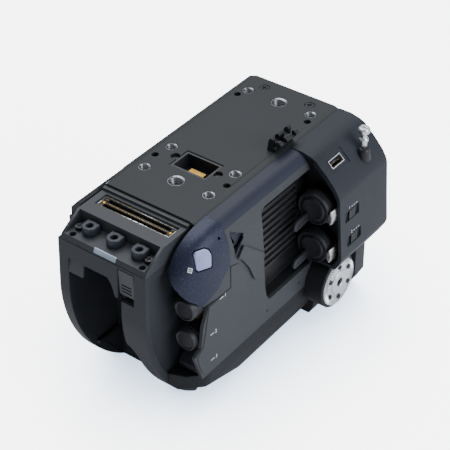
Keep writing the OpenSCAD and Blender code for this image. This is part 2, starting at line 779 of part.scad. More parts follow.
module port_cover() {
    x = (io_x[0] + io_x[1]) / 2;
    color("#2a2e31") side_run(x - port_cover_w / 2, x + port_cover_w / 2) polygon([for (p = port_cover_shares)
        [bulk_y - play - p[0] * port_cover_len, base_h + play + p[1] * port_cover_h]]);
}

// Vent recess: slatted inner wall with the returns round it
grille_x = 42;
grille_t = 2;
slat_h = 1.8;
slat_t = 2.2;
grille_z = [vent_z[0] - wall, plate_z - wall];
slat_drop = 9;
slat_top = body_h - slat_drop;
slat_len = 50;

module vent_grille() {
    y0 = vent_y - wall;
    y1 = panel_y + wall;
    color("#1d2024") union() {
        span([grille_x, grille_x + grille_t], [y0, y1], grille_z);
        for (i = [0 : slat_n - 1]) side_run(grille_x + grille_t, grille_x + grille_t + slat_h)
            polygon([[vent_y, slat_top - slat_t - i * slat_pitch], [vent_y + slat_len, slat_top - slat_t
                - i * slat_pitch], [vent_y + slat_len, slat_top - i * slat_pitch],
                [vent_y, slat_top - i * slat_pitch]]);
        span([grille_x + grille_t, right_w - wall], [y0, vent_y], [vent_z[0] - wall, shoulder_z]);
        span([grille_x + grille_t, right_w - wall], [vent_y, panel_y], [vent_z[0] - wall, vent_z[0]]);
    }
}

// Input block on the right, with its recess, switch windows and port
block_shares = [[0, 0], [0.21, 0], [0.38, 0.015], [0.48, 0.035], [0.57, 0.073], [0.66, 0.105], [0.746, 0.146],
    [0.82, 0.18], [0.874, 0.216], [0.91, 0.245], [0.93, 0.276], [0.96, 0.487], [1, 0.739], [0.975, 0.775],
    [0.943, 0.8], [0.853, 0.864], [0.628, 1]];
block_top = body_h - edge_drop / 2;
rim_scale = 1 - wall / (plate_right + block_reach - right_w);
under_h = 16;
under_z = block_top - block_h + under_h;
strip_z = plate_z - edge_drop;
function block_point(p) = [plate_right + p[0] * block_reach, block_top - p[1] * block_h];
function inner_point(p) = let (q = block_point(p), c = [right_w, optic_z + turret_dz])
    [c[0] + (q[0] - c[0]) * rim_scale, c[1] + (q[1] - c[1]) * rim_scale];
function inner_points() = concat([[grille_x + grille_t, strip_z - edge_drop]],
    [for (i = [2 : len(block_shares) - 1]) inner_point(block_shares[i])],
    [[grille_x + grille_t, vent_z[0]]]);
window_y = [42.8, 26.8];
window_drop = [44, 64];
window_z = [body_h - window_drop[0], body_h - window_drop[1]];
window_len = 16;
window_h = 7.6;
window_x = [76.4, 77.6];
window_d = 1.6;
slider_len = 6.4;
usb_w = 13.3;
usb_h = 6;
usb_len = 9;
usb_x = 61.5;
usb_y = 41.3;
usb_drop = 9.4;
usb_z = body_h - usb_drop;
usb_turn = 44;
usb_rim = 0.4;
hook_x = 66;
hook_y = 16.8;
hook_drop = 10;
hook_z = body_h - hook_drop;
hook_h = 15;
hook_r = 3.2;

module usb_place() {
    translate([usb_x, front_y - usb_y, usb_z]) rotate([0, usb_turn, 0]) children();
}

module input_block() {
    color("#555a5c") difference() {
        union() {
            front_run(block_y, front_y) polygon(concat([for (p = block_shares) block_point(p)],
                [[right_w, block_top - block_h], [right_w, strip_z], [plate_right, strip_z]]));
            span([right_w - wall, right_w], [block_y, frame_y], [base_h, under_z + wall]);
        }
        intersection() {
            front_run(block_y - over, front_y - wall) polygon(inner_points());
            span([grille_x, plate_right + block_reach], [block_y - over, front_y],
                [under_z + wall, block_top]);
        }
        span([right_w, plate_right + block_reach + over],
            [block_y - over, front_y - rosette_y + rosette_r + wall * 1.5], [0, under_z]);
        span([plate_right - over, right_w + over], [frame_y, front_y + over], [0, strip_z]);
        for (i = [0, 1]) span([window_x[i] - window_d, window_x[i] + wall],
            [front_y - window_y[0] - window_len * (0.5 - i * 0.12),
            front_y - window_y[0] + window_len * (0.5 + i * 0.12)],
            [window_z[i] - window_h / 2, window_z[i] + window_h / 2]);
        usb_place() span([-usb_h / 2 - usb_rim - wall, usb_h / 2 + usb_rim + wall],
            [-usb_w / 2 - usb_rim - wall, usb_w / 2 + usb_rim + wall], [-usb_rim, usb_len]);
        usb_place() span([-usb_h / 2 - usb_rim, usb_h / 2 + usb_rim],
            [-usb_w / 2 - usb_rim, usb_w / 2 + usb_rim], [-usb_len - over, usb_len]);
        rod_z(hook_r * 0.8, hook_z - over, block_top + over, hook_x, front_y - hook_y);
    }
}

// Input panel with the two audio connectors, their caps and release tabs
audio_barrel_r = 9.6;
audio_ring_r = 12;
audio_ring_t = 3.4;
audio_face = 13.2;
audio_cap_len = 8;
audio_barrel_len = 10.5;
audio_tether_dx = -9.5;
audio_tether_dz = -10;
release_x = [70.1, 72.8];
release_h = 10.5;
release_out = 8;
release_dz = 1.5;
function audio_height(i) = audio_z - i * audio_pitch;
function release_height(i) = audio_height(i) - release_dz;

module input_panel() {
    color("#17191c") difference() {
        intersection() {
            front_run(panel_y, panel_y + wall) polygon(inner_points());
            span([grille_x + grille_t, plate_right + block_reach], [panel_y, panel_y + wall],
                [under_z + wall, block_top]);
        }
        for (i = [0, 1]) {
            rod_y(audio_barrel_r, panel_y - over, panel_y + wall + over, audio_x, audio_height(i));
            rod_y(pin_r2 + play, panel_y - over, panel_y + wall + over, audio_x + audio_tether_dx,
                audio_height(i) + audio_tether_dz);
            span([release_x[0] - play, release_x[1] + play], [panel_y - over, panel_y + wall + over],
                [release_height(i) - release_h / 2 - play, release_height(i) + release_h / 2 + play]);
        }
        usb_place() span([-usb_h / 2 - play, usb_h / 2 + play], [-usb_w / 2 - play, usb_w / 2 + play],
            [-usb_len - play, over]);
    }
}

module audio_connectors() {
    color("#8f9496") for (i = [0, 1]) difference() {
        union() {
            rod_y(audio_barrel_r, panel_y - audio_barrel_len, panel_y + wall * 4, audio_x, audio_height(i));
            rod_y(audio_ring_r, panel_y - audio_ring_t, panel_y, audio_x, audio_height(i));
        }
        rod_y(audio_barrel_r * 0.8, panel_y - audio_barrel_len - over, panel_y, audio_x, audio_height(i));
    }
}

module audio_cap(i) {
    color("#24282d") difference() {
        tethered_cap(audio_cap_r, audio_barrel_r + play, audio_cap_len - wall / 2, audio_cap_len, audio_x,
            audio_height(i), panel_y - audio_face, audio_tether_dx, audio_tether_dz,
            panel_y + wall + pull);
        difference() {
            rod_y(audio_cap_r * 0.66, panel_y - audio_face - over, panel_y - audio_face + wall / 5, audio_x,
                audio_height(i));
            rod_y(audio_cap_r * 0.58, panel_y - audio_face - over * 2, panel_y, audio_x, audio_height(i));
        }
    }
}

module audio_cap_1() {
    audio_cap(0);
}

module audio_cap_2() {
    audio_cap(1);
}

module audio_release(i) {
    color("#b4b7b6") intersection() {
        span(release_x, [panel_y - release_out, panel_y + wall], [release_height(i) - release_h / 2,
            release_height(i) + release_h / 2]);
        rod_y(release_h / 2, panel_y - release_out - over, panel_y + wall + over,
            (release_x[0] + release_x[1]) / 2, release_height(i));
    }
}

module audio_release_1() {
    audio_release(0);
}

module audio_release_2() {
    audio_release(1);
}

module input_switch(i) {
    x0 = window_x[i] - window_d + play;
    color("#2b2e31") difference() {
        span([x0, window_x[i] - window_d / 8], [front_y - window_y[0] + window_len * 0.12 * i - slider_len / 2,
            front_y - window_y[0] + window_len * 0.12 * i + slider_len / 2],
            [window_z[i] - window_h / 2 + play, window_z[i] + window_h / 2 - play]);
        for (k = [-1, 0, 1]) span([x0 + window_d * 0.5, window_x[i]],
            [front_y - window_y[0] + window_len * 0.12 * i + k * slider_len / 4 - slider_len / 16,
            front_y - window_y[0] + window_len * 0.12 * i + k * slider_len / 4 + slider_len / 16],
            [window_z[i] - window_h, window_z[i] + window_h]);
    }
}

module input_switch_1() {
    input_switch(0);
}

module input_switch_2() {
    input_switch(1);
}

module usb_port() {
    color("#c8cbcc") usb_place() difference() {
        span([-usb_h / 2, usb_h / 2], [-usb_w / 2, usb_w / 2], [-usb_len, -usb_rim]);
        difference() {
            span([-usb_h / 2 + usb_rim / 2, usb_h / 2 - usb_rim / 2],
                [-usb_w / 2 + usb_rim / 2, usb_w / 2 - usb_rim / 2], [-usb_len + usb_rim, over]);
            span([-usb_h / 4, 0], [-usb_w / 2 + usb_rim * 2, usb_w / 2 - usb_rim * 2],
                [-usb_len, -usb_rim * 2]);
        }
    }
}

module tape_hook() {
    top = hook_z + hook_h;
    color("#d3d5d6") translate([hook_x, front_y - hook_y, 0]) difference() {
        rotate_extrude() polygon([[0, hook_z], [hook_r * 0.8, hook_z], [hook_r * 0.8, hook_z + hook_h * 0.3],
            [hook_r, hook_z + hook_h * 0.3], [hook_r, hook_z + hook_h * 0.42], [hook_r * 0.65, hook_z + hook_h * 0.5],
            [hook_r * 0.65, hook_z + hook_h * 0.68], [hook_r * 1.25, hook_z + hook_h * 0.76],
            [hook_r * 1.25, hook_z + hook_h * 0.93], [hook_r, top], [0, top]]);
        span([-hook_r * 2, hook_r * 2], [-hook_r * 0.2, hook_r * 0.2], [top - hook_r * 0.5, top + over]);
    }
}

// Accessory rosette on its boss
rosette_t = 2;
rosette_flat_r = 9;
rosette_bore_r = 3.2;
boss_extra = 2;
tooth_h = 0.7;
rosette_screw_r = 12.6;
rosette_axis_y = front_y - rosette_y;

module rosette_boss() {
    color("#2a2d30") difference() {
        rod_x(rosette_r + boss_extra, right_w, rosette_x - rosette_t, rosette_axis_y, rosette_z);
        rod_x(rosette_bore_r, right_w - over, rosette_x, rosette_axis_y, rosette_z);
    }
}

module rosette() {
    r1 = rosette_r;
    tip = rosette_x + tooth_h;
    half = r1 * 180 / rosette_teeth * PI / 180;
    color("#cfd2d2") difference() {
        union() {
            rod_x(r1, rosette_x - rosette_t, rosette_x - tooth_h, rosette_axis_y, rosette_z);
            rod_x(rosette_flat_r, rosette_x - rosette_t, rosette_x, rosette_axis_y, rosette_z);
            for (i = [0 : rosette_teeth - 1])
                translate([rosette_x - tooth_h, rosette_axis_y, rosette_z]) rotate([360 * i / rosette_teeth, 0, 0])
                    rotate([90, 0, 0]) translate([0, 0, rosette_screw_r + tooth_h * 3])
                        linear_extrude(r1 - rosette_screw_r - tooth_h * 3.5)
                            polygon([[0, -half * 0.8], [tooth_h, 0], [0, half * 0.8]]);
        }
        rod_x(rosette_bore_r, rosette_x - rosette_t - over, tip + over, rosette_axis_y, rosette_z);
        for (i = [0 : 5]) rod_x(screw_w, rosette_x - rosette_t / 2, tip + over,
            rosette_axis_y + rosette_screw_r * cos(30 + 60 * i), rosette_z + rosette_screw_r * sin(30 + 60 * i));
    }
}

// Lower shell, curved in to the flat base, with the tripod plate
screw_w = 1.9;
base_bevel_shares = [[1, 1], [0.93, 0.7], [0.62, 0.32], [0.25, 0.09], [0, 0]];
flare_shares = [[1, 1], [1, 0.5], [0.85, 0.2], [0.62, 0]];
flare_y = 49;
base_half = base_flat_w / 2;
tripod_w = 40;
tripod_len = 62;
base_screw_dx = 32;
base_screw_y = [-40, 60];
function base_side(shares, w) = [for (p = shares) [base_half + p[0] * (w - base_half), p[1] * base_h]];
function base_section(shares, inset) = concat([for (p = base_side(shares, right_w - inset)) [p[0], p[1]]],
    [for (p = reversed(base_side(shares, left_w - inset))) [-p[0], p[1]]]);
base_plan = [[bay_right, rear_y + bay_len * 0.38], [bay_right + (right_w - bay_right) * 0.55,
    rear_y + bay_len * 0.47], [bay_right + (right_w - bay_right) * 0.9, rear_y + bay_len * 0.64],
    [right_w + over, rear_y + bay_len * 0.86], [right_w + over, frame_y + over],
    [-left_w - over, frame_y + over], [-left_w - over, bulk_y], [bay_right, bulk_y]];
corner_x = 36;
corner_y = -56;
corner_turns = [[0, 45.8, -45.3], [0, 38.8, -12.3]];
module corner_cuts(t) {
    for (turn = corner_turns) translate([corner_x, corner_y, 0]) rotate(turn)
        span([-t, base_h], [-base_h * 2, base_h * 2], [-base_h * 2, base_h * 2]);
}

module base_shell() {
    arc = rear_arc(0);
    color("#4a4e52") difference() {
        union() {
            intersection() {
                union() {
                    front_run(rear_y, frame_y) polygon(base_section(base_bevel_shares, 0));
                    front_run(front_y - flare_y, frame_y) polygon(base_section(flare_shares, 0));
                }
                side_run(-left_w - over, right_w + over) polygon(concat([[frame_y + over, base_h + over],
                    [rear_y, base_h + over]], arc, [[arc[arc_n][0], -over], [frame_y + over, -over]]));
                translate([0, 0, -over]) linear_extrude(base_h + 2 * over) polygon(base_plan);
            }
            rod_x(rosette_r + boss_extra, base_half, right_w, rosette_axis_y, rosette_z);
        }
        difference() {
            front_run(bulk_y + bulk_t, frame_y + over) polygon(concat([[right_w - wall, base_h + over]],
                [for (p = base_section(base_bevel_shares, wall)) [p[0] * (1 - wall / base_half), p[1] + wall]],
                [[-left_w + wall, base_h + over]]));
            corner_cuts(wall * 0.6);
        }
        corner_cuts(0);
        span([-left_w, right_w], [0, frame_y], [base_h, base_h * 2]);
        span([-tripod_w / 2, tripod_w / 2], [tripod_y - tripod_len * 0.25, tripod_y + tripod_len * 0.75],
            [-over, wall + over]);
        span([-chassis_w, chassis_w], [bulk_y - over, bulk_y + bulk_t + over], [wall, base_h + over]);
        for (s = [-1, 1], y = base_screw_y) rod_z(screw_r, -over, screw_h, s * base_screw_dx, y);
    }
}

module tripod_plate() {
    y = [tripod_y - tripod_len * 0.25, tripod_y + tripod_len * 0.75];
    color("#9da1a3") difference() {
        union() {
            span([-tripod_w / 2, tripod_w / 2], y, [0, wall]);
            for (i = [0, 1]) rod_z(boss_r, 0, insert_len + wall, 0, tripod_y + i * tripod_gap);
        }
        rod_z(quarter_r, -over, insert_len + wall + over, 0, tripod_y);
        rod_z(eighths_r, -over, insert_len + wall + over, 0, tripod_y + tripod_gap);
    }
}

// Left shell with the card window, controls and filter housing
left_shares = [[0, 0], [0.35, 0.17], [0.8, 0.38], [1, 0.53]];
left_shoulder_h = 33;
left_rear = rear_y + bay_len * 0.5;
card_y = [-48, -14];
card_drop = [90, 50];
card_z = [body_h - card_drop[0], body_h - card_drop[1]];
card_depth = 19;
door_t2 = 2;
level_y = [4, 22];
level_drop = 76;
level_z = body_h - level_drop;
level_h = 4.5;
start_y = 24;
start_drop = 40;
start_z = body_h - start_drop;
start_r = 6.5;
start_h = 2.5;
power_y = -8;
power_drop = 34;
power_z = body_h - power_drop;
power_len = 18;
power_w = 8;
power_travel = 4;
lug_r = 1.8;
lug_len = 8;
lug_drop = 19;
lug_z = body_h - lug_drop;
housing_len = 49;
housing_y = [front_y - housing_len, frame_y];
housing_shares = [[0, 1], [0.4, 0.94], [0.75, 0.85], [1, 0.74], [1, 0.14], [0.65, 0.02], [0, 0]];
housing_drop = [109, 22];
housing_z = [body_h - housing_drop[0], body_h - housing_drop[1]];
filter_y = front_y - 31;
filter_drop = 62;
filter_z = body_h - filter_drop;
shaft_r = 3;
shaft_len = 7;
left_z0 = base_h;
function left_points(inset) = [for (p = left_shares) [-plate_left - p[0] * (left_w - plate_left) + inset,
    plate_z - p[1] * left_shoulder_h - inset * (p[0] < 1 ? 1 : 0)]];

module left_shell() {
    color("#505456") difference() {
        union() {
            intersection() {
                union() {
                    front_run(left_rear, frame_y) polygon(concat(left_points(0), [[-left_w, left_z0],
                        [-left_w + wall, left_z0]], reversed(left_points(wall))));
                    front_run(left_rear, left_rear + wall) polygon(concat(left_points(0), [[-left_w, left_z0],
                        [-bay_left, left_z0], [-bay_left, plate_z - wall * 1.2]]));
                    rear_corner();
                }
                linear_extrude(body_h) polygon([[-bay_left, left_rear], [-bay_left - (left_w - bay_left) * 0.5,
                    left_rear], [-left_w, left_rear + bay_len * 0.3], [-left_w, frame_y],
                    [-chassis_w, frame_y], [-chassis_w, bulk_y], [-bay_left, bulk_y]]);
            }
            difference() {
                span([-bay_left - lug_len, -bay_left], [left_rear - wall, left_rear], [lug_z - lug_len / 2,
                    lug_z + lug_len / 2]);
                rod_y(lug_r, left_rear - wall - over, left_rear + over, -bay_left - lug_len * 0.6, lug_z);
            }
        }
        span([-left_w - over, -left_w + wall + over], card_y, card_z);
        for (y = level_y) rod_x(level_r + play, -left_w - over, -left_w + wall + over, y, level_z);
        rod_x(start_r + play, -left_w - over, -left_w + wall + over, start_y, start_z);
        span([-left_w - over, -left_w + wall + over], [power_y - power_len / 2, power_y + power_len / 2],
            [power_z - power_w / 2, power_z + power_w / 2]);
    }
}

// Wall across the cut corner at the rear of the left shell
module rear_corner() {
    x = left_w - bay_left;
    intersection() {
        front_run(left_rear, frame_y) polygon(concat(left_points(0), [[-left_w, left_z0], [-bay_left, left_z0],
            [-bay_left, plate_z - wall * 1.2]]));
        linear_extrude(body_h) polygon([[-bay_left - x * 0.5, left_rear], [-left_w, left_rear + bay_len * 0.3],
            [-left_w, left_rear + bay_len * 0.3 + wall * 1.5], [-bay_left - x * 0.5, left_rear + wall * 1.5]]);
    }
}

module filter_housing() {
    x = [for (p = housing_shares) -left_w - p[0] * housing_reach];
    z = [for (p = housing_shares) housing_z[0] + p[1] * (housing_z[1] - housing_z[0])];
    color("#4b4f52") difference() {
        front_run(housing_y[0], housing_y[1]) polygon([for (i = [0 : len(x) - 1]) [x[i], max(z[i], base_h)]]);
        front_run(housing_y[0] + wall, housing_y[1] + over) polygon([for (i = [0 : len(x) - 1])
            [i == 0 || i == len(x) - 1 ? x[i] + over : x[i] + wall,
            i < 4 ? z[i] - wall : max(z[i], base_h) + wall]]);
        rod_x(shaft_r + play, -left_w - housing_reach - over, -left_w - housing_reach + wall + over,
            filter_y, filter_z);
    }
}

module filter_dial() {
    x0 = -left_w - housing_reach - play - dial_h + play;
    color("#2a2d30") difference() {
        union() {
            rod_x(dial_r, x0, x0 + dial_h - play, filter_y, filter_z);
            rod_x(shaft_r, x0, -left_w - housing_reach + shaft_len, filter_y, filter_z);
        }
        for (i = [0 : 23]) rod_x(dial_r * 0.06, x0 - over, x0 + dial_h * 0.7,
            filter_y + dial_r * cos(15 * i), filter_z + dial_r * sin(15 * i), $fn = 16);
        rod_x(dial_r * 0.75, x0 - over, x0 + dial_h * 0.08, filter_y, filter_z);
    }
}

turret_hole_r = 11.5;

module filter_turret() {
    color("#8d9396") difference() {
        rod_y(turret_r, turret_y, turret_y + turret_t, -turret_dx, optic_z + turret_dz);
        rod_y(axle_r + play / 4, turret_y - over, turret_y + turret_t + over, -turret_dx, optic_z + turret_dz);
        for (i = [0 : 3]) rod_y(turret_hole_r, turret_y - over, turret_y + turret_t + over,
            -turret_dx + turret_dx * sqrt(2) * cos(90 * i - 45), optic_z + turret_dz
            + turret_dx * sqrt(2) * sin(90 * i - 45));
    }
}

module level_dial(i) {
    color("#26292b") difference() {
        rod_x(level_r, -left_w - level_h, -left_w + wall, level_y[i], level_z);
        for (k = [0 : 17]) rod_x(level_r * 0.07, -left_w - level_h - over, -left_w - level_h * 0.2,
            level_y[i] + level_r * cos(20 * k), level_z + level_r * sin(20 * k), $fn = 16);
    }
}

module level_dial_1() {
    level_dial(0);
}

module level_dial_2() {
    level_dial(1);
}

module power_switch() {
    color("#2b2e30") difference() {
        span([-left_w - wall / 2, -left_w + wall], [power_y - power_travel * 1.1, power_y + power_travel * 1.1],
            [power_z - power_w / 2 + play, power_z + power_w / 2 - play]);
        for (i = [-1, 0, 1]) span([-left_w - wall, -left_w - wall / 5], [power_y + (i - 0.2) * power_travel / 2,
            power_y + (i + 0.2) * power_travel / 2], [power_z - power_w, power_z + power_w]);
    }
}

module start_button() {
    color("#8c2f2c") rod_x(start_r, -left_w - start_h, -left_w + wall, start_y, start_z);
}

module card_module() {
    x = -left_w + wall;
    color("#303336") difference() {
        span([x, x + card_depth], [card_y[0] - wall / 2, card_y[1] + wall / 2],
            [card_z[0] - wall / 2, card_z[1] + wall / 2]);
        for (i = [0, 1]) span([x - over, x + card_depth - wall], [card_y[0] + wall * 2, card_y[1] - wall * 2],
            [card_z[0] + wall * 2 + i * wall * 6.5, card_z[0] + wall * 4.5 + i * wall * 6.5]);
    }
}

module card_door() {
    color("#55595b") union() {
        span([-left_w, -left_w + wall - play], [card_y[0] + play, card_y[1] - play],
            [card_z[0] + play, card_z[1] - play]);
        span([-left_w - door_t2 * 0.4, -left_w], [card_y[1] - wall * 3, card_y[1] - wall],
            [(card_z[0] + card_z[1]) / 2 - wall * 3, (card_z[0] + card_z[1]) / 2 + wall * 3]);
    }
}

// Front casting, lens mount, release button and body cap
release_at = [-38, -20];
release_r = 4;
release_depth = 8;
release_out2 = 4.5;
release_push = 2.5;
front_low = [[50, 0], [57, 6], [62.2, 16], [62.2, block_top - block_h]];
skirt_len = 5;
grip_n = 12;

module front_frame() {
    color("#44484b") difference() {
        front_run(frame_y, front_y) polygon(concat([[-50, 0]], front_low, [[right_w, block_top - block_h],
            [right_w, strip_z], [plate_right, strip_z], [plate_right, plate_z], [-plate_left, plate_z],
            [-plate_left - (left_w - plate_left) * 0.8, plate_z - left_shoulder_h * 0.38],
            [-left_w - housing_reach * 0.4, housing_z[1] - wall], [-left_w - housing_reach, housing_z[1] * 0.8],
            [-left_w - housing_reach, housing_z[0] + wall * 4], [-left_w - housing_reach * 0.4, wall * 3]]));
        rod_y(throat_r, frame_y - over, front_y + over, 0, optic_z);
        rod_y(release_r + play, front_y - release_depth, front_y + over, release_at[0], optic_z + release_at[1]);
    }
}

module lens_mount() {
    color("#c6c9ca") difference() {
        rod_y(mount_r, front_y, front_y + mount_h, 0, optic_z);
        rod_y(throat_r, front_y - over, front_y + mount_h + over, 0, optic_z);
    }
}

module lens_release() {
    color("#2b2e31") rod_y(release_r, front_y - release_depth + release_push + play, front_y + release_out2,
        release_at[0], optic_z + release_at[1]);
}

module body_cap() {
    y0 = front_y + mount_h;
    color("#212427") difference() {
        union() {
            rod_y(mount_r, y0 + play, y0 + cap_h, 0, optic_z);
            rod_y(throat_r - play, y0 - skirt_len, y0 + cap_h / 2, 0, optic_z);
        }
        rod_y(throat_r - wall, y0 - skirt_len - over, y0, 0, optic_z);
        for (i = [0 : grip_n - 1]) rod_y(mount_r * 0.05, y0, y0 + cap_h + over,
            mount_r * cos(360 * i / grip_n), optic_z + mount_r * sin(360 * i / grip_n), $fn = 16);
    }
}

// Sensor, board, fan and frame inside
sensor_w = 52;
sensor_h = 34;
sensor_t = 3;
chip_w = 31;
chip_h = 19;
sensor_y = 46;
fin_n = 6;
fin_h = 14;
fin_t = 1.5;
fan_y = 5;
fan_drop = 54;
fan_z = body_h - fan_drop;
fan_case = 38;
fan_t = 10;
fan_x = grille_x - fan_t;
fan_blades = 7;
fan_pin_r = 1.5;
fan_hub_r = 7;

module image_sensor() {
    color("#3a5a48") union() {
        span([-sensor_w / 2, sensor_w / 2], [sensor_y, sensor_y + sensor_t],
            [optic_z - sensor_h / 2, optic_z + sensor_h / 2]);
        span([-chip_w / 2, chip_w / 2], [sensor_y + sensor_t, sensor_y + sensor_t * 1.6],
            [optic_z - chip_h / 2, optic_z + chip_h / 2]);
        for (s = [-1, 1]) span([s * sensor_w * 0.4 - sensor_t / 2, s * sensor_w * 0.4 + sensor_t / 2],
            [sensor_y, sensor_y + sensor_t], [wall + bulk_t, optic_z]);
    }
}

module main_board() {
    w = board_w / 2;
    color("#2f5a40") union() {
        span([-w, w], [board_y, board_y + board_len], [board_z, board_z + board_t]);
        for (i = [0 : fin_n - 1]) span([-w * 0.7 + i * w * 0.26, -w * 0.7 + i * w * 0.26 + fin_t],
            [board_y + board_len * 0.25, board_y + board_len * 0.7], [board_z + board_t, board_z + board_t + fin_h]);
    }
}

module fan_frame() {
    h = fan_case / 2;
    color("#26282a") union() {
        difference() {
            span([fan_x, grille_x], [fan_y - h, fan_y + h], [fan_z - h, fan_z + h]);
            rod_x(fan_r + play * 2, fan_x - over, grille_x + over, fan_y, fan_z);
        }
        for (a = [0, 90]) translate([0, fan_y, fan_z]) rotate([a, 0, 0])
            span([fan_x, fan_x + wall / 2], [-h, h], [-fan_pin_r, fan_pin_r]);
        rod_x(fan_pin_r, fan_x, grille_x - wall, fan_y, fan_z);
    }
}

module fan_rotor() {
    x = [fan_x + wall, grille_x - wall / 2];
    color("#35383b") difference() {
        union() {
            rod_x(fan_hub_r, x[0], x[1], fan_y, fan_z);
            for (i = [0 : fan_blades - 1]) translate([x[0], fan_y, fan_z]) rotate([360 * i / fan_blades, 0, 0])
                rotate([0, 0, -35]) span([0, (x[1] - x[0]) * 0.9], [0, fin_t], [fan_hub_r * 0.8, fan_r - fin_t]);
        }
        rod_x(fan_pin_r + play / 4, x[0] - over, x[1] + over, fan_y, fan_z);
    }
}

// Small screws, all of one kind: deck, plate, rosette and base

module screw_head(r, h) {
    difference() {
        cylinder(r = r, h = h, $fn = 32);
        for (a = [0, 90]) rotate([0, 0, a]) translate([-r * 0.7, -r * 0.12, h * 0.5])
            cube([r * 1.4, r * 0.24, h]);
    }
}

module case_screws() {
    color("#8b8f92") union() {
        for (s = [-1, 1]) translate([s * screw_dx, front_y - screw_y, body_h - screw_h])
            screw_head(screw_r - play, screw_h - play);
        for (s = [-1, 1]) translate([s * deck_screw_dx, rear_y + deck_screw_y, floor_z])
            screw_head(screw_r * 0.75, screw_h * 1.5);
        for (i = [0 : 5]) translate([rosette_x - rosette_t / 2, rosette_axis_y + rosette_screw_r * cos(30 + 60 * i),
            rosette_z + rosette_screw_r * sin(30 + 60 * i)]) rotate([0, 90, 0])
                screw_head(screw_w - play / 2, rosette_t / 2);
        for (s = [-1, 1], y = base_screw_y) translate([s * base_screw_dx, y, screw_h]) rotate([180, 0, 0])
            screw_head(screw_r - play, screw_h - play);
    }
}

chassis();
top_plate();
quarter_inch_inserts();
three_eighths_inserts();
case_screws();
handle_socket();
cable_clamp();
rear_deck();
expansion_connector();
contact_strips();
deck_bosses();
tally_lens();
battery_bay();
battery_lever();
battery_latch();
battery_terminal();
right_shell();
label_panel();
shoulder_panel();
assign_button();
io_bracket();
video_connectors();
video_cap_1();
video_cap_2();
port_cover();
jack_door();
vent_grille();
input_block();
input_panel();
audio_connectors();
audio_cap_1();
audio_cap_2();
audio_release_1();
audio_release_2();
input_switch_1();
input_switch_2();
usb_port();
tape_hook();
rosette_boss();
rosette();
base_shell();
tripod_plate();
left_shell();
filter_housing();
filter_dial();
filter_turret();
level_dial_1();
level_dial_2();
power_switch();
start_button();
card_module();
card_door();
front_frame();
lens_mount();
lens_release();
body_cap();
image_sensor();
main_board();
fan_frame();
fan_rotor();
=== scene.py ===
# %% [markdown]
# A digital cinema camera body in Blender
# The CAD model gives the true shapes and places. This lesson loads it as a fixed frame, rounds its
# edges, dresses it in materials and adds the small pieces that a solid model leaves out.

# %% Load the frame
import json
import math

import bmesh
import bpy
import numpy as np
from mathutils import Matrix, Vector

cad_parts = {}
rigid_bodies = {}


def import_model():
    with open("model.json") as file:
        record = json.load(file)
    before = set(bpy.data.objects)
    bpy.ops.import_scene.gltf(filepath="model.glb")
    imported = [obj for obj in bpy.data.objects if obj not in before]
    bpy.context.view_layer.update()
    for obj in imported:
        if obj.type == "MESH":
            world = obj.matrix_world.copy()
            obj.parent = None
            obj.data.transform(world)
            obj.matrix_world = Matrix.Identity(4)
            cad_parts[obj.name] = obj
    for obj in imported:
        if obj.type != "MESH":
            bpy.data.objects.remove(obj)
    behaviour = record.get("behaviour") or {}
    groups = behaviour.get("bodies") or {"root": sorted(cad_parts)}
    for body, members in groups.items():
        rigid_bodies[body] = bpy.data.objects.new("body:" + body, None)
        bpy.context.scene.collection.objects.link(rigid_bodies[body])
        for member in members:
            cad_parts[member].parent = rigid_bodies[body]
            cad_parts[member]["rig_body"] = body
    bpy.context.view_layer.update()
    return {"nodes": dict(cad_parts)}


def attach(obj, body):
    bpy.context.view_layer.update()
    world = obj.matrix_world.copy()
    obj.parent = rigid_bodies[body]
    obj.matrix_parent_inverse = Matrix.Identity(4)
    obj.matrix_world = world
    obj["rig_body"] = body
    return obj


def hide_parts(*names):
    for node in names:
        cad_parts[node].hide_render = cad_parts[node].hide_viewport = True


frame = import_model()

nodes = frame["nodes"]
MM = 0.001
print("loaded", len(nodes), "CAD nodes")

# %% [markdown]
# The camera stands high behind the right rear corner, with a long lens. Its place was solved from
# the screw threads on the top plate, so the render can be laid over the photograph.

# %% Camera
AZIMUTH, ELEVATION, ROLL = (math.radians(x) for x in (37.4696, 37.7482, -0.7434))
right = Vector((math.cos(AZIMUTH), math.sin(AZIMUTH), 0))
back = Vector((math.sin(AZIMUTH) * math.cos(ELEVATION), -math.cos(AZIMUTH) * math.cos(ELEVATION),
               math.sin(ELEVATION)))
up = back.cross(right)
camera_data = bpy.data.cameras.new("view")
camera_data.lens = 116.0
camera_data.sensor_width = 36.0
camera_data.clip_end = 50
camera = bpy.data.objects.new("view", camera_data)
bpy.context.scene.collection.objects.link(camera)
camera_x = math.cos(ROLL) * right + math.sin(ROLL) * up
camera_y = -math.sin(ROLL) * right + math.cos(ROLL) * up
camera.matrix_world = Matrix((camera_x, camera_y, back)).transposed().to_4x4()
camera.location = Vector((466.6, -594.6, 668.1)) * MM
bpy.context.scene.camera = camera
print("camera at", [round(x, 3) for x in camera.location])

# %% [markdown]
# Colours are written as sRGB hex values, as a paint card gives them, and one function turns them
# into the linear light that Blender works in. One more function adds a node, sets it and links it.

# %% Colour and node helpers
def linear(code):
    """Each sRGB channel c becomes ((c + 0.055) / 1.055) ^ 2.4, or c / 12.92 near black."""
    c = np.array([int(code[i:i + 2], 16) for i in (1, 3, 5)]) / 255
    return (*np.where(c <= 0.04045, c / 12.92, ((c + 0.055) / 1.055) ** 2.4).tolist(), 1.0)


def add(tree, kind, sockets=None, **settings):
    """Adds a node. Settings are its properties. Sockets map an input to a value or to an output."""
    node = tree.nodes.new("ShaderNode" + kind)
    for key, value in settings.items():
        setattr(node, key, value)
    for key, value in (sockets or {}).items():
        if isinstance(value, bpy.types.NodeSocket):
            tree.links.new(value, node.inputs[key])
        else:
            node.inputs[key].default_value = value
    return node


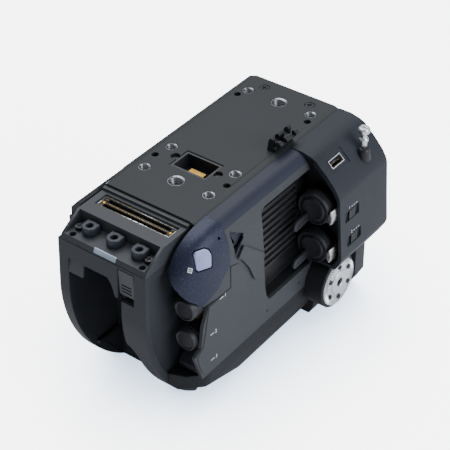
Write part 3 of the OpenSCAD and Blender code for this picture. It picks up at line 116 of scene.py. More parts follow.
def ramp(tree, factor, stops):
    """A colour ramp whose stops are (position, hex colour) pairs."""
    node = add(tree, "ValToRGB", {"Fac": factor})
    bar = node.color_ramp
    while len(bar.elements) < len(stops):
        bar.elements.new(0.5)
    for element, (place, code) in zip(bar.elements, stops):
        element.position, element.color = place, linear(code)
    return node.outputs["Color"]


def start(name, **values):
    """A new material with its shader and the object's own coordinates."""
    material = bpy.data.materials.new(name)
    material.use_nodes = True
    tree = material.node_tree
    shader = tree.nodes["Principled BSDF"]
    for key, value in values.items():
        shader.inputs[key.replace("_", " ")].default_value = value
    return material, tree, shader, add(tree, "TexCoord").outputs["Object"]


# %% [markdown]
# The shells are cast magnesium with a fine textured paint. The paint has a grain of a few tenths of
# a millimetre, which takes the shine off and breaks up highlights, and its tone drifts a little
# over a hand's width. The bump is drawn at 0.6 mm, a bit coarser than life, so that it shows.

# %% Textured paint
def textured_paint(name, low, high, grain_mm=0.6, roughness=0.55, strength=0.12):
    """Colour drifts from low to high on 30 mm noise. The bump is noise of the grain's size."""
    material, tree, shader, place = start(name, Roughness=roughness, Specular_IOR_Level=0.3)
    drift = add(tree, "TexNoise", {"Vector": place, "Scale": 1 / (30 * MM), "Detail": 3.0})
    speck = add(tree, "TexNoise", {"Vector": place, "Scale": 1 / (grain_mm * MM), "Detail": 2.0})
    mixed = add(tree, "Math", {0: drift.outputs["Fac"], 1: 0.6}, operation="MULTIPLY")
    total = add(tree, "Math", {0: speck.outputs["Fac"], 1: 0.4, 2: mixed.outputs[0]},
                operation="MULTIPLY_ADD")
    colour = ramp(tree, total.outputs[0], [(0.3, low), (0.7, high)])
    tree.links.new(colour, shader.inputs["Base Color"])
    rough = add(tree, "MapRange", {"Value": drift.outputs["Fac"], "To Min": roughness - 0.06,
                                   "To Max": roughness + 0.08})
    tree.links.new(rough.outputs["Result"], shader.inputs["Roughness"])
    bump = add(tree, "Bump", {"Height": speck.outputs["Fac"], "Strength": strength,
                              "Distance": 0.15 * MM})
    tree.links.new(bump.outputs["Normal"], shader.inputs["Normal"])
    return material


plate_paint = textured_paint("plate_textured_paint", "#222527", "#2a2d2f")
shell_paint = textured_paint("shell_textured_paint", "#25282c", "#2d3034")
base_paint = textured_paint("base_textured_paint", "#15171a", "#1c1f22")
block_paint = textured_paint("block_textured_paint", "#1e2229", "#262a32")
boss_paint = textured_paint("boss_textured_paint", "#272b31", "#333840", roughness=0.35)
band_paint_and_pocket_shade = textured_paint("band_textured_paint_and_pocket_shade", "#1f2330", "#272c3a", roughness=0.5)
label_paint = textured_paint("label_panel_paint", "#34373a", "#3e4144", roughness=0.5)

# %% [markdown]
# The shoulder panel wears a blue-grey coat with metal flake, as on a car. Each flake is a cell of
# Voronoi noise with its own random tilt. The few cells with the highest value are coloured pale, a
# painted highlight, so the panel glitters under any lamp.

# %% Flake coat
def flake_coat(name, ground, painted_highlight_tone, flake_mm=0.28):
    """One random value per cell: the highest take a pale painted highlight, and all tilt a little.
    """
    material, tree, shader, place = start(name, Roughness=0.4, Metallic=0.3, Specular_IOR_Level=0.3)
    cells = add(tree, "TexVoronoi", {"Vector": place, "Scale": 1 / (flake_mm * MM)})
    # Painted highlight: cells above 0.84 fade to the pale tone, whatever the light.
    colour = ramp(tree, cells.outputs["Color"], [(0.0, ground), (0.84, ground), (1.0, painted_highlight_tone)])
    tree.links.new(colour, shader.inputs["Base Color"])
    bump = add(tree, "Bump", {"Height": cells.outputs["Color"], "Strength": 0.25,
                              "Distance": 0.1 * MM})
    tree.links.new(bump.outputs["Normal"], shader.inputs["Normal"])
    return material


shoulder_coat = flake_coat("shoulder_flake_coat_painted_highlight", "#23283a", "#6a7290")

# %% [markdown]
# Bare metals: steel for threads and the lens mount, pale aluminium for the rosette and the tape
# hook, knurled steel for the release tabs, black-oxide steel for screws, and thin gold over nickel
# on contacts. Fine streaks of noise, stretched along one axis, stand for the tool's marks.

# %% Metals
def worked_metal(name, tone, dark, roughness, streak_mm=(0.15, 3, 3), strength=0.08):
    """Noise stretched by streak_mm along the axes shades the tone, the roughness and the bump."""
    material, tree, shader, place = start(name, Metallic=1.0, Roughness=roughness)
    scale = tuple(1 / (s * MM) for s in streak_mm)
    mapped = add(tree, "Mapping", {"Vector": place, "Scale": scale}).outputs["Vector"]
    marks = add(tree, "TexNoise", {"Vector": mapped, "Scale": 1.0, "Detail": 2.0})
    colour = ramp(tree, marks.outputs["Fac"], [(0.3, dark), (0.7, tone)])
    tree.links.new(colour, shader.inputs["Base Color"])
    rough = add(tree, "MapRange", {"Value": marks.outputs["Fac"], "To Min": roughness * 0.8,
                                   "To Max": roughness * 1.2})
    tree.links.new(rough.outputs["Result"], shader.inputs["Roughness"])
    bump = add(tree, "Bump", {"Height": marks.outputs["Fac"], "Strength": strength,
                              "Distance": 0.05 * MM})
    tree.links.new(bump.outputs["Normal"], shader.inputs["Normal"])
    return material


turned_steel = worked_metal("turned_steel", "#c9ccce", "#a3a7aa", 0.25, (3, 3, 0.15))
rosette_metal = worked_metal("rosette_aluminium", "#eceeef", "#d2d5d7", 0.42, (3, 0.3, 3))
knurled_steel = worked_metal("knurled_steel", "#dedfda", "#8f8f8a", 0.35, (0.5, 3, 0.5), 0.5)
insert_steel = worked_metal("insert_steel", "#8f9294", "#6d7072", 0.3, (3, 3, 0.15))
ground_steel = worked_metal("ground_steel", "#b8bcbf", "#94999c", 0.3, (3, 0.2, 3))
black_oxide = worked_metal("black_oxide_steel", "#4a4c4e", "#2c2e30", 0.38)
satin_metal = worked_metal("satin_aluminium", "#c6c9cb", "#a5a9ac", 0.36, (3, 0.3, 3))
contact_gold = worked_metal("gold_plate", "#d8ae58", "#b3893a", 0.28)
brass_nickel = worked_metal("nickel_plated_brass", "#b9a46a", "#8d8160", 0.32, (3, 0.2, 3))
milled_metal = worked_metal("milled_aluminium", "#8b9093", "#6b7073", 0.4, (3, 3, 0.4))

# %% [markdown]
# Plastics and rubber. Moulded ABS keeps the fine spark-eroded grain of its mould. The caps are soft
# rubber, dull and a little dusty, with a broad pale sheen at grazing angles.

# %% Plastics and rubber
def moulded(name, low, high, roughness, grain_mm=0.4, strength=0.08, **values):
    """Mould grain: fine noise for the bump, and broad noise for a small drift of colour."""
    material, tree, shader, place = start(name, Roughness=roughness, **values)
    grain = add(tree, "TexNoise", {"Vector": place, "Scale": 1 / (grain_mm * MM), "Detail": 2.0})
    drift = add(tree, "TexNoise", {"Vector": place, "Scale": 1 / (15 * MM), "Detail": 2.0})
    colour = ramp(tree, drift.outputs["Fac"], [(0.3, low), (0.7, high)])
    tree.links.new(colour, shader.inputs["Base Color"])
    bump = add(tree, "Bump", {"Height": grain.outputs["Fac"], "Strength": strength,
                              "Distance": 0.1 * MM})
    tree.links.new(bump.outputs["Normal"], shader.inputs["Normal"])
    return material


black_abs = moulded("moulded_abs_black", "#121416", "#1a1c1f", 0.45)
dark_abs = moulded("moulded_abs_dark", "#1c1f22", "#25282b", 0.42)
grey_abs = moulded("moulded_abs_grey", "#3c4148", "#484d55", 0.4)
cap_rubber = moulded("cap_rubber", "#0d1016", "#141820", 0.5, Sheen_Weight=0.08)
button_plastic = moulded("button_plastic", "#8d94c0", "#a2a9d4", 0.4)
red_plastic = moulded("button_plastic_red", "#8f2a24", "#a8342c", 0.4)
board_laminate = moulded("board_laminate", "#1d4030", "#275239", 0.35)
lamp_plastic = moulded("lamp_milky_plastic", "#8f9cab", "#a8b4c1", 0.3, Subsurface_Weight=0.15)
print_white = moulded("printed_white_ink", "#dfe3e8", "#eef1f5", 0.6)
hook_metal = worked_metal("hook_turned_aluminium", "#dfe2e3", "#c2c6c8", 0.3, (3, 3, 0.2))


def coated_glass(name, tone, roughness=0.05):
    """A dark filter glass: the tone is low, and a coat gives the sharp reflection."""
    material, tree, shader, place = start(name, Roughness=roughness, Coat_Weight=1.0,
                                          Coat_Roughness=0.03)
    haze = add(tree, "TexNoise", {"Vector": place, "Scale": 1 / (20 * MM)})
    tree.links.new(ramp(tree, haze.outputs["Fac"], [(0.3, tone), (0.8, "#2c3450")]),
                   shader.inputs["Base Color"])
    return material


sensor_glass = coated_glass("sensor_cover_glass", "#161b2c")
filter_glass = coated_glass("grey_filter_glass", "#2b3036", 0.1)

# %% [markdown]
# Most shells have the right shape already, but their edges are razor sharp. A real casting has
# rounded edges, which catch a thin line of light. So each node's mesh is copied, its double
# points are merged, its flat faces are joined, and a bevel rounds every edge that turns sharply.

# %% Rounded copies of the CAD nodes
def new_object(name, mesh, material, body, sharp=None):
    """Puts a mesh into the scene, smooth shaded but for edges over the sharp angle, on a body."""
    mesh.materials.clear()
    mesh.materials.append(material)
    mesh.polygons.foreach_set("use_smooth", np.ones(len(mesh.polygons), bool))
    if sharp:
        mesh.set_sharp_from_angle(angle=math.radians(sharp))
    piece = bpy.data.objects.new(name, mesh)
    bpy.context.scene.collection.objects.link(piece)
    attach(piece, body)
    return piece


def body_of(node):
    """The moving body that a CAD node belongs to."""
    return nodes[node]["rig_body"]


def points_of(mesh):
    """The vertices of a mesh as an array with one row each."""
    points = np.empty(len(mesh.vertices) * 3)
    mesh.vertices.foreach_get("co", points)
    return points.reshape(-1, 3)


def rounded(node, width_mm, material, segments=2, angle=32):
    """A copy of the node with merged points, joined flat faces and rounded edges."""
    shape = bmesh.new()
    shape.from_mesh(nodes[node].data)
    bmesh.ops.remove_doubles(shape, verts=shape.verts, dist=0.002 * MM)
    bmesh.ops.dissolve_limit(shape, angle_limit=math.radians(0.4), verts=shape.verts,
                             edges=shape.edges)
    mesh = bpy.data.meshes.new(node + "_rounded")
    shape.to_mesh(mesh)
    shape.free()
    piece = new_object(node + "_rounded", mesh, material, body_of(node))
    bevel = piece.modifiers.new("edges", "BEVEL")
    bevel.width = width_mm * MM
    bevel.segments = segments
    bevel.limit_method = "ANGLE"
    bevel.angle_limit = math.radians(angle)
    bevel.use_clamp_overlap = False
    even = piece.modifiers.new("even_shading", "WEIGHTED_NORMAL")
    even.weight = 100
    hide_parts(node)
    return piece


ROUNDED = {
    "top_plate": (0.35, plate_paint), "rear_deck": (0.3, label_paint),
    "battery_bay": (0.5, shell_paint), "right_shell": (0.12, label_paint),
    "label_panel": (0.3, label_paint), "shoulder_panel": (0.14, shoulder_coat),
    "input_block": (0.35, block_paint), "base_shell": (0.5, base_paint),
    "left_shell": (0.4, shell_paint), "front_frame": (0.6, shell_paint),
    "filter_housing": (0.6, shell_paint), "card_door": (0.4, shell_paint),
    "jack_door": (0.25, label_paint), "rosette_boss": (0.4, base_paint),
    "battery_lever": (0.3, dark_abs), "battery_latch": (0.2, satin_metal),
    "battery_terminal": (0.2, black_abs), "handle_socket": (0.2, dark_abs),
    "cable_clamp": (0.25, black_abs), "expansion_connector": (0.15, black_abs),
    "deck_bosses": (0.8, boss_paint), "tally_lens": (0.3, lamp_plastic),
    "assign_button": (0.3, button_plastic), "io_bracket": (0.15, black_abs),
    "port_cover": (0.5, cap_rubber), "vent_grille": (0.2, black_abs),
    "input_panel": (0.2, black_abs), "input_switch_1": (0.2, black_abs),
    "input_switch_2": (0.2, black_abs), "tape_hook": (0.25, hook_metal),
    "tripod_plate": (0.2, turned_steel), "filter_dial": (0.4, dark_abs),
    "level_dial_1": (0.2, dark_abs), "level_dial_2": (0.2, dark_abs),
    "power_switch": (0.3, dark_abs), "start_button": (0.3, red_plastic),
    "lens_mount": (0.25, ground_steel), "lens_release": (0.25, satin_metal),
    "body_cap": (0.6, cap_rubber),
}
for node, (width, material) in ROUNDED.items():
    rounded(node, width, material)

KEPT = {
    "chassis": milled_metal, "case_screws": black_oxide, "contact_strips": contact_gold,
    "video_connectors": brass_nickel, "audio_connectors": black_oxide, "card_module": black_abs,
    "image_sensor": sensor_glass, "main_board": board_laminate, "fan_frame": black_abs,
    "fan_rotor": black_abs, "filter_turret": filter_glass,
}
for node, material in KEPT.items():
    nodes[node].data.materials.clear()
    nodes[node].data.materials.append(material)
print("rounded", len(ROUNDED), "nodes and kept", len(KEPT))

# %% [markdown]
# The flake coat of the shoulder ends along a bent line, and below it the panel wears the paint of
# the side wall. The blue-grey band along the top edge ends at a level line. Cuts along these lines
# divide the faces, and each face takes the paint of its side.

# %% Two paints on one panel
def two_paints(piece, second, cuts, is_second):
    """Cuts the mesh by planes (point, normal) in mm, then gives each face one of two paints."""
    piece.data.materials.append(second)
    shape = bmesh.new()
    shape.from_mesh(piece.data)
    for point, normal in cuts:
        bmesh.ops.bisect_plane(shape, geom=shape.verts[:] + shape.edges[:] + shape.faces[:],
                               dist=1e-6, plane_co=Vector(point) * MM, plane_no=normal)
    for face in shape.faces:
        face.material_index = int(is_second(face.calc_center_median() / MM))
    shape.to_mesh(piece.data)
    shape.free()


BORDER = np.array([(-51.2, 109.1), (-64.4, 97.6), (-74.0, 93.3)])
slopes = np.diff(BORDER[:, 1]) / np.diff(BORDER[:, 0])
two_paints(bpy.data.objects["shoulder_panel_rounded"], label_paint,
           [((0, *point), (0, slope, -1)) for point, slope in zip(BORDER, slopes)],
           lambda c: c.x > 48 and c.z < (BORDER[:2, 1] + slopes * (c.y - BORDER[:2, 0])).max())

# %% [markdown]
# A finger pocket beside the shoulder is cut out of the side shell by a three-sided prism. Its faces
# take the darker blue-grey band paint, painted shade in the recess. The label panel stands 1 mm
# proud in the CAD model, and here its face is set back to 0.4 mm.

# %% Finger pocket and thin label panel
side = bpy.data.objects["right_shell_rounded"]
corners = np.array([(50.6, -47.6, 130.6), (53.8, -46.0, 113.6), (53.2, -36.4, 121.2)])
depth = np.array([(3, 0, 0.8), (-1.7, 0, -0.4)])
wedge = bpy.data.meshes.new("pocket_cutter")
wedge.from_pydata(((corners[None] + depth[:, None]).reshape(-1, 3) * MM).tolist(), [],
                  [(0, 1, 2), (5, 4, 3), (0, 3, 4, 1), (1, 4, 5, 2), (2, 5, 3, 0)])
cutter = bpy.data.objects.new("pocket_cutter", wedge)
block = bpy.data.objects.new("uncut_side", side.data)
for helper in (cutter, block):
    bpy.context.scene.collection.objects.link(helper)
carving = block.modifiers.new("pocket", "BOOLEAN")
carving.object, carving.operation, carving.solver = cutter, "DIFFERENCE", "EXACT"
bpy.context.view_layer.update()
side.data = bpy.data.meshes.new_from_object(block.evaluated_get(
    bpy.context.evaluated_depsgraph_get()))
for helper in (cutter, block):
    bpy.data.objects.remove(helper)
side.data.materials.clear()
side.data.materials.append(label_paint)
# The band paint goes on the top band and on the pocket's faces, where it is painted shade.
two_paints(side, band_paint_and_pocket_shade, [((0, 0, 133.4), (0, 0, 1))],
           lambda c: c.z > 133.4 or (-48 < c.y < -36 and 113 < c.z < 131 and c.x < 53))
LABEL_FACE = 54.4
label = bpy.data.objects["label_panel_rounded"].data
points = points_of(label)
points[:, 0] = np.where(points[:, 0] > (LABEL_FACE + 0.1) * MM, LABEL_FACE * MM, points[:, 0])
label.vertices.foreach_set("co", points.ravel())

# %% [markdown]
# Turned and threaded parts are surfaces of two numbers: the place along a profile and the angle
# round the axis. numpy works out all points at once and one grid of quads joins them.

# %% Surface helpers
def grid_faces(rows, cols, wrap=True):
    """Quads between the points of a rows x cols grid. Wrap joins the last column to the first."""
    i, j = np.meshgrid(np.arange(rows - 1), np.arange(cols if wrap else cols - 1), indexing="ij")
    k = (j + 1) % cols
    return np.stack([i * cols + j, i * cols + k, (i + 1) * cols + k, (i + 1) * cols + j],
                    -1).reshape(-1, 4)


def joined(name, parts):
    """One mesh from (points in mm, quads) parts, with double points merged and faces outward."""
    starts = np.cumsum([0] + [len(points) for points, _ in parts])
    points = np.concatenate([points for points, _ in parts]) * MM
    quads = np.concatenate([quads + first for (_, quads), first in zip(parts, starts)])
    mesh = bpy.data.meshes.new(name)
    mesh.from_pydata(points.tolist(), [], quads.tolist())
    shape = bmesh.new()
    shape.from_mesh(mesh)
    bmesh.ops.remove_doubles(shape, verts=shape.verts, dist=0.001 * MM)
    bmesh.ops.recalc_face_normals(shape, faces=shape.faces)
    shape.to_mesh(mesh)
    shape.free()
    return mesh


AXES = {"x": ((0, 1, 0), (0, 0, 1), (1, 0, 0)), "-y": ((1, 0, 0), (0, 0, 1), (0, -1, 0)),
        "z": ((1, 0, 0), (0, 1, 0), (0, 0, 1))}


def turned(profile, centre, axis, steps=64):
    """A lathe form: (r, h) of the profile goes to centre + r (u cos t + v sin t) + h w."""
    u, v, w = np.array(AXES[axis], float)
    angle = np.linspace(0, 2 * math.pi, steps, endpoint=False)
    r, h = np.array(profile, float).T
    ring = np.cos(angle)[:, None] * u + np.sin(angle)[:, None] * v
    points = np.array(centre) + r[:, None, None] * ring + h[:, None, None] * w
    return points.reshape(-1, 3), grid_faces(len(r), steps)


def stand_in(node, parts, material, sharp=35):
    """A piece made of parts that stands for a CAD node, with the node's body."""
    piece = new_object(node + "_detail", joined(node + "_detail", parts), material, body_of(node),
                       sharp)
    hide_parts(node)
    return piece


# %% [markdown]
# The threaded inserts have real threads. A screw thread is a bore whose radius falls and rises by
# one thread depth for each pitch along the axis, and the wave moves up by one pitch a turn.

# %% Threaded inserts
def threaded_insert(place, bore, pitch, top, length, wall=0.9, steps=48, rows_per_pitch=8):
    """r = bore - depth tri(z / pitch - t / 2 pi), with a chamfer at the mouth and a plain ring."""
    mouth, slack, edge, depth = 0.5, 0.05, 0.12, 0.55 * pitch
    angle = np.linspace(0, 2 * math.pi, steps, endpoint=False)
    z = np.arange(top - mouth, top - length, -pitch / rows_per_pitch)
    wave = (z[:, None] / pitch - angle[None, :] / (2 * math.pi)) % 1
    r = bore + slack - depth * (1 - np.abs(2 * wave - 1))
    outer = np.array([(bore + wall, top - length), (bore + wall, top - edge),
                      (bore + wall - edge, top), (bore + 0.3, top)])
    r = np.concatenate([np.repeat(outer[:, :1], steps, 1), r, np.full((1, steps), bore)])
    heights = np.concatenate([outer[:, 1], z, [top - length]])
    points = np.stack([place[0] + r * np.cos(angle), place[1] + r * np.sin(angle),
                       np.repeat(heights[:, None], steps, 1)], -1)
    return points.reshape(-1, 3), grid_faces(len(heights), steps)


INCH, PLATE_TOP, PLATE_FRONT = 25.4, 139.7, 93.8
QUARTER_PLACES = [(s * INCH, PLATE_FRONT - y) for s in (-1, 1) for y in (18.6, 101.5, 128.8)]
EIGHTH_PLACES = [(0, 75.2), (0, -35.0)]
stand_in("quarter_inch_inserts", [threaded_insert(p, INCH / 8, INCH / 20, PLATE_TOP, 8)
                                  for p in QUARTER_PLACES], insert_steel)
stand_in("three_eighths_inserts", [threaded_insert(p, INCH * 3 / 16, INCH / 16, PLATE_TOP, 8)
                                   for p in EIGHTH_PLACES], insert_steel)

# %% [markdown]
# The connector caps are moulded rubber: a turned body with a raised ring on its face, a soft rim
# and a grip groove, and a flat strap that runs to a pin in the panel.

# %% Connector caps
def stadium(first, last, radius, steps=16):
    """Outline round two points at one radius: half a circle at each end."""
    first, last = np.array(first, float), np.array(last, float)
    heading = math.atan2(*(last - first)[::-1])
    half = np.linspace(math.pi / 2, 3 * math.pi / 2, steps) + heading
    ring = np.stack([np.cos(half), np.sin(half)], -1) * radius
    return np.concatenate([first + ring, last - ring])


def strap(first, last, width, depth, soft=0.5, across="y"):
    """A flat strap between two depths along one axis, with its edges rounded by soft."""
    near, far = depth
    half, core = width / 2, width / 2 - width / 2.05
    rows = [(core, near), (half - soft, near), (half - soft / 4, near + soft / 4),
            (half, near + soft), (half, far - soft), (half - soft / 4, far - soft / 4),
            (half - soft, far), (core, far)]
    rings = [stadium(first, last, r) for r, _ in rows]
    points = np.stack([np.stack([ring[:, 0], np.full(len(ring), level), ring[:, 1]], -1)
                       for ring, (_, level) in zip(rings, rows)])
    if across == "x":
        points = points[..., [1, 0, 2]]
    return points.reshape(-1, 3), grid_faces(len(rows), len(rings[0]))


AUDIO_CAP = [(0, 12.9), (6.5, 12.9), (7.0, 13.15), (7.7, 13.2), (8.1, 12.6), (8.6, 12.2),
             (10.1, 12.2), (10.7, 12.9), (11.2, 13.0), (11.65, 12.6), (11.8, 12.0), (11.8, 9.4),
             (11.5, 9.1), (11.5, 8.3), (11.8, 8.0), (11.8, 5.9), (11.6, 5.5), (11.2, 5.3),
             (9.95, 5.3), (9.95, 11.9), (0, 11.9)]
AUDIO_PIN = [(0, 5.2), (1.3, 5.2), (1.3, -8.5), (0.9, -8.5), (0, -8.5)]
VIDEO_CAP = [(0, 13.3), (5.6, 13.3), (6.1, 13.8), (6.6, 14.0), (7.1, 13.8), (7.5, 13.2),
             (7.6, 12.5), (7.6, 9.6), (7.25, 9.3), (7.25, 8.3), (7.6, 8.0), (7.6, 0.6), (7.3, 0.1),
             (7.0, 0.0), (5.1, 0.0), (5.1, 12.3), (0, 12.3)]
VIDEO_PIN = [(0, 1.4), (1.3, 1.4), (1.3, -18.5), (0.9, -19), (0, -19)]
PANEL_Y, AUDIO_X, AUDIO_PIN_X = 45, 57.8, 47.4
for number, height in ((1, 102.2), (2, 71.2)):
    stand_in(f"audio_cap_{number}", [
        turned(AUDIO_CAP, (AUDIO_X, PANEL_Y, height), "-y", 96),
        strap((AUDIO_X - 7.6, height - 7), (AUDIO_PIN_X, height - 12.6), 5.0, (37.6, 39.8)),
        strap((35.5, height - 7.6), (20.5, height - 8.6), 7.4, (52.3, 54.4), 0.8, "x"),
        turned(AUDIO_PIN, (AUDIO_PIN_X, PANEL_Y, height - 12.6), "-y", 24)], cap_rubber, 30)
POCKET_Y, VIDEO_X, VIDEO_PIN_X = -71, 43.5, 36.5
for number, height in ((1, 90), (2, 66)):
    stand_in(f"video_cap_{number}", [
        turned(VIDEO_CAP, (VIDEO_X, POCKET_Y, height), "-y", 80),
        strap((VIDEO_X - 4, height + 4.9), (VIDEO_PIN_X, height + 8.5), 4, (-72.6, POCKET_Y)),
        turned(VIDEO_PIN, (VIDEO_PIN_X, POCKET_Y, height + 8.5), "-y", 24)], cap_rubber, 30)

# %% [markdown]
# The rosette joins an arm to the body. Its outer band carries fine radial teeth, so it is a height
# field in polar coordinates: a triangle wave of the angle in the band and flat steps elsewhere.

# %% Rosette
def toothed_disc(centre, teeth=60, per_tooth=8):
    """x = h(r) + w(r) tri(teeth t / 2 pi). Rows hold r, h and w, and w is 1 mm in the band."""
    angle = np.linspace(0, 2 * math.pi, teeth * per_tooth, endpoint=False)
    tri = 1 - np.abs(2 * ((teeth * angle / (2 * math.pi)) % 1) - 1)
    rows = np.array([(3.2, -2, 0), (3.2, -0.3, 0), (3.5, 0, 0), (8.7, 0, 0), (9.0, -0.3, 0),
                     (9.0, -0.75, 0), (9.3, -0.8, 0), (14.5, -0.8, 0), (14.6, -1.0, 1),
                     (17.2, -1.0, 1), (17.5, -1.1, 0), (17.6, -1.3, 0), (17.6, -2, 0)])
    r = np.repeat(rows[:, :1], len(angle), 1)
    x = rows[:, 1:2] + tri[None, :] * rows[:, 2:3]
    points = np.stack([centre[0] + x, centre[1] + r * np.cos(angle),
                       centre[2] + r * np.sin(angle)], -1)
    return points.reshape(-1, 3), grid_faces(len(rows), len(angle))


stand_in("rosette", [toothed_disc((70, 50, 35))], rosette_metal, 20)

# %% [markdown]
# Each release tab is an oval bar with a knurled end: a lathe form, squeezed to a third along X.

# %% Release tabs
TAB = [(0, 13.6), (4.3, 13.6), (4.9, 13.3), (5.25, 12.5), (5.25, -2), (0, -2)]
for number, height in ((1, 100.7), (2, 69.7)):
    tab, tab_quads = turned(TAB, (0, 45, height), "-y", 48)
    stand_in(f"audio_release_{number}", [(tab * (1 / 3, 1, 1) + (71.6, 0, 0), tab_quads)],
             knurled_steel, 40)

# %% [markdown]
# The data port is a bent sheet shell with a plastic tongue and four contacts. It is drawn flat, in
# its own axes, and one turn about Y lays it on the slope of the block.

# %% Data port and expansion connector
def brick(low, high):
    """The eight corners and six faces of a box."""
    corners = np.array([[(low, high)[b][axis] for axis, b in enumerate(bits)]
                        for bits in np.ndindex(2, 2, 2)], float)
    return corners, np.array([(0, 1, 3, 2), (4, 6, 7, 5), (0, 4, 5, 1), (2, 3, 7, 6), (0, 2, 6, 4),
                              (1, 5, 7, 3)])


def frame_bricks(half_x, half_y, wall, low, high):
    """Four boxes that make a rectangular frame of one wall thickness."""
    return [brick((-half_x, -half_y, low), (half_x, -half_y + wall, high)),
            brick((-half_x, half_y - wall, low), (half_x, half_y, high)),
            brick((-half_x, -half_y + wall, low), (-half_x + wall, half_y - wall, high)),
            brick((half_x - wall, -half_y + wall, low), (half_x, half_y - wall, high))]


def placed(parts, centre, turn_deg=0.0):
    """Turns parts about Y and moves them: x' = x cos + z sin, z' = z cos - x sin."""
    c, s = math.cos(math.radians(turn_deg)), math.sin(math.radians(turn_deg))
    turn = np.array([(c, 0, s), (0, 1, 0), (-s, 0, c)])
    return [(points @ turn.T + np.array(centre), quads) for points, quads in parts]


PORT = (61.5, 52.5, 130.6)
stand_in("usb_port", placed(frame_bricks(3.0, 6.65, 0.6, -9, -0.3), PORT, 44), rosette_metal, 30)
tongue = placed([brick((-1.6, -5.2, -8.6), (-0.1, 5.2, -1.2))], PORT, 44)
port_floor = placed([brick((-2.4, -6.0, -8.9), (2.4, 6.0, -8.6))], PORT, 44)
pins = placed([brick((-0.1, y - 0.6, -7.5), (0.15, y + 0.6, -1.6)) for y in (-3.6, -1.2, 1.2, 3.6)],
              PORT, 44)
new_object("port_tongue", joined("port_tongue", tongue), black_abs, "body")
new_object("port_floor", joined("port_floor", port_floor), black_abs, "body")
new_object("port_contacts", joined("port_contacts", pins), contact_gold, "body")
rim = placed(frame_bricks(28.7, 5.2, 1.1, 0, 0.5), (0, -73.5, 134.9))
new_object("connector_rim", joined("connector_rim", rim), satin_metal, "body")
pads = [brick((x - 0.5, y - 0.35, 135.4), (x + 0.5, y + 0.35, 135.5))
        for x in np.arange(-24, 25, 4.8) for y in (-68.9, -78.1)]
new_object("connector_pads", joined("connector_pads", pads), contact_gold, "body")

# %% [markdown]
# Small screws with a cross recess hold the side wall. Each recess is drawn as a pair of crossed
# dark bars on a low domed head: painted shade in place of the hollow.

# %% Small screws
def small_screw(x, y, z, radius=1.25):
    """A domed head along X: h = 0.3 sqrt(1 - (r / R)^2), drawn as a lathe profile."""
    r = np.linspace(0, radius, 7)
    dome = 0.3 * np.sqrt(1 - (r / radius) ** 2) - 0.02
    return turned(np.stack([r, dome], -1), (x, y, z), "x", 32)


SCREWS = [(54.0, -12.0, 45.0), (54.0, 24.0, 44.0), (54.0, -78.0, 40.5)]
heads = [small_screw(*place) for place in SCREWS]
new_object("side_screws", joined("side_screws", heads), black_oxide, "body", 40)
# The bars are matte black: painted shade where the cross recess would be.
painted_slot_shade = []
for x, y, z in SCREWS:
    painted_slot_shade += [brick((x + 0.2, y - 0.75, z - 0.13), (x + 0.31, y + 0.75, z + 0.13)),
              brick((x + 0.2, y - 0.13, z - 0.75), (x + 0.31, y + 0.13, z + 0.75))]
new_object("side_screw_slot_painted_shade", joined("side_screw_slot_painted_shade", painted_slot_shade), black_abs, "body")

# %% [markdown]
# A fine seam follows the rear arc a few millimetres inside the rim, where the bay's two mouldings
# meet. The seam is a dark ribbon on the side face, along an arc of the bay's own radius R. The arc
# meets the floor 45.4 mm in front of the rear face, which puts its centre sqrt(2 R f - f^2) high.

# %% Rim seam of the battery bay
REAR_Y, ARC_RADIUS, ARC_FOOT = -108.5, 106.0, 45.4
ARC_Y, ARC_Z = REAR_Y + ARC_RADIUS, math.sqrt(2 * ARC_RADIUS * ARC_FOOT - ARC_FOOT ** 2)


def rim_seam(x, inset, width, steps=40):
    """y = yc + (R - inset) cos a, z = zc + (R - inset) sin a, for a from 176 to 232 degrees."""
    angle = np.linspace(math.radians(176), math.radians(232), steps)
    r = np.array([ARC_RADIUS - inset, ARC_RADIUS - inset - width])[:, None]
    ribbon = np.stack([np.full((2, steps), x), ARC_Y + r * np.cos(angle),
                       ARC_Z + r * np.sin(angle)], -1)
    return ribbon.reshape(-1, 3), grid_faces(2, steps, False)


seam = [rim_seam(33.03, 5.2, 0.4)]
new_object("bay_rim_seam", joined("bay_rim_seam", seam), black_abs, "body")

# %% [markdown]
# The tape hook screws into a small moulded foot on the corner of the block.

# %% Hook foot
foot = [turned([(0, 4.6), (2.6, 4.6), (3.4, 4.1), (3.9, 3.0), (4.4, 0), (5.0, -4), (0, -4)],
               (67.6, 75.5, 126), "z", 48)]
new_object("hook_foot", joined("hook_foot", foot), black_abs, "body", 50)

# %% [markdown]
# Three details finish the rear: a wider gap round the shoulder button, a row of contacts on the bar
# of the deck connector, and a plain plate in the bay's upper corner that follows the rear arc.

# %% Button gap, contact row and bay plate
BUTTON_OUTWARD, BUTTON_SHARE = np.array((0.74, -0.43, 0.52)), 0.93
button = bpy.data.objects["assign_button_rounded"].data
points = points_of(button) / MM
middle = (points.min(0) + points.max(0)) / 2
offset = points - middle
along = (offset @ BUTTON_OUTWARD)[:, None] * BUTTON_OUTWARD
points = middle + along + BUTTON_SHARE * (offset - along)
button.vertices.foreach_set("co", (points * MM).ravel())

bar = [brick((-24, -74.5, 133.6), (24, -72.5, 134.95))]
new_object("connector_bar", joined("connector_bar", bar), grey_abs, "body")
row = [brick((x - 0.22, -74.2, 134.95), (x + 0.22, -72.8, 135.05))
       for x in np.arange(-22, 22.1, 1.1)]
row += [brick((x - 1.2, -75.6, 134.9), (x + 1.2, -71.4, 135.2)) for x in (-26, 26)]
new_object("connector_row", joined("connector_row", row), contact_gold, "body")


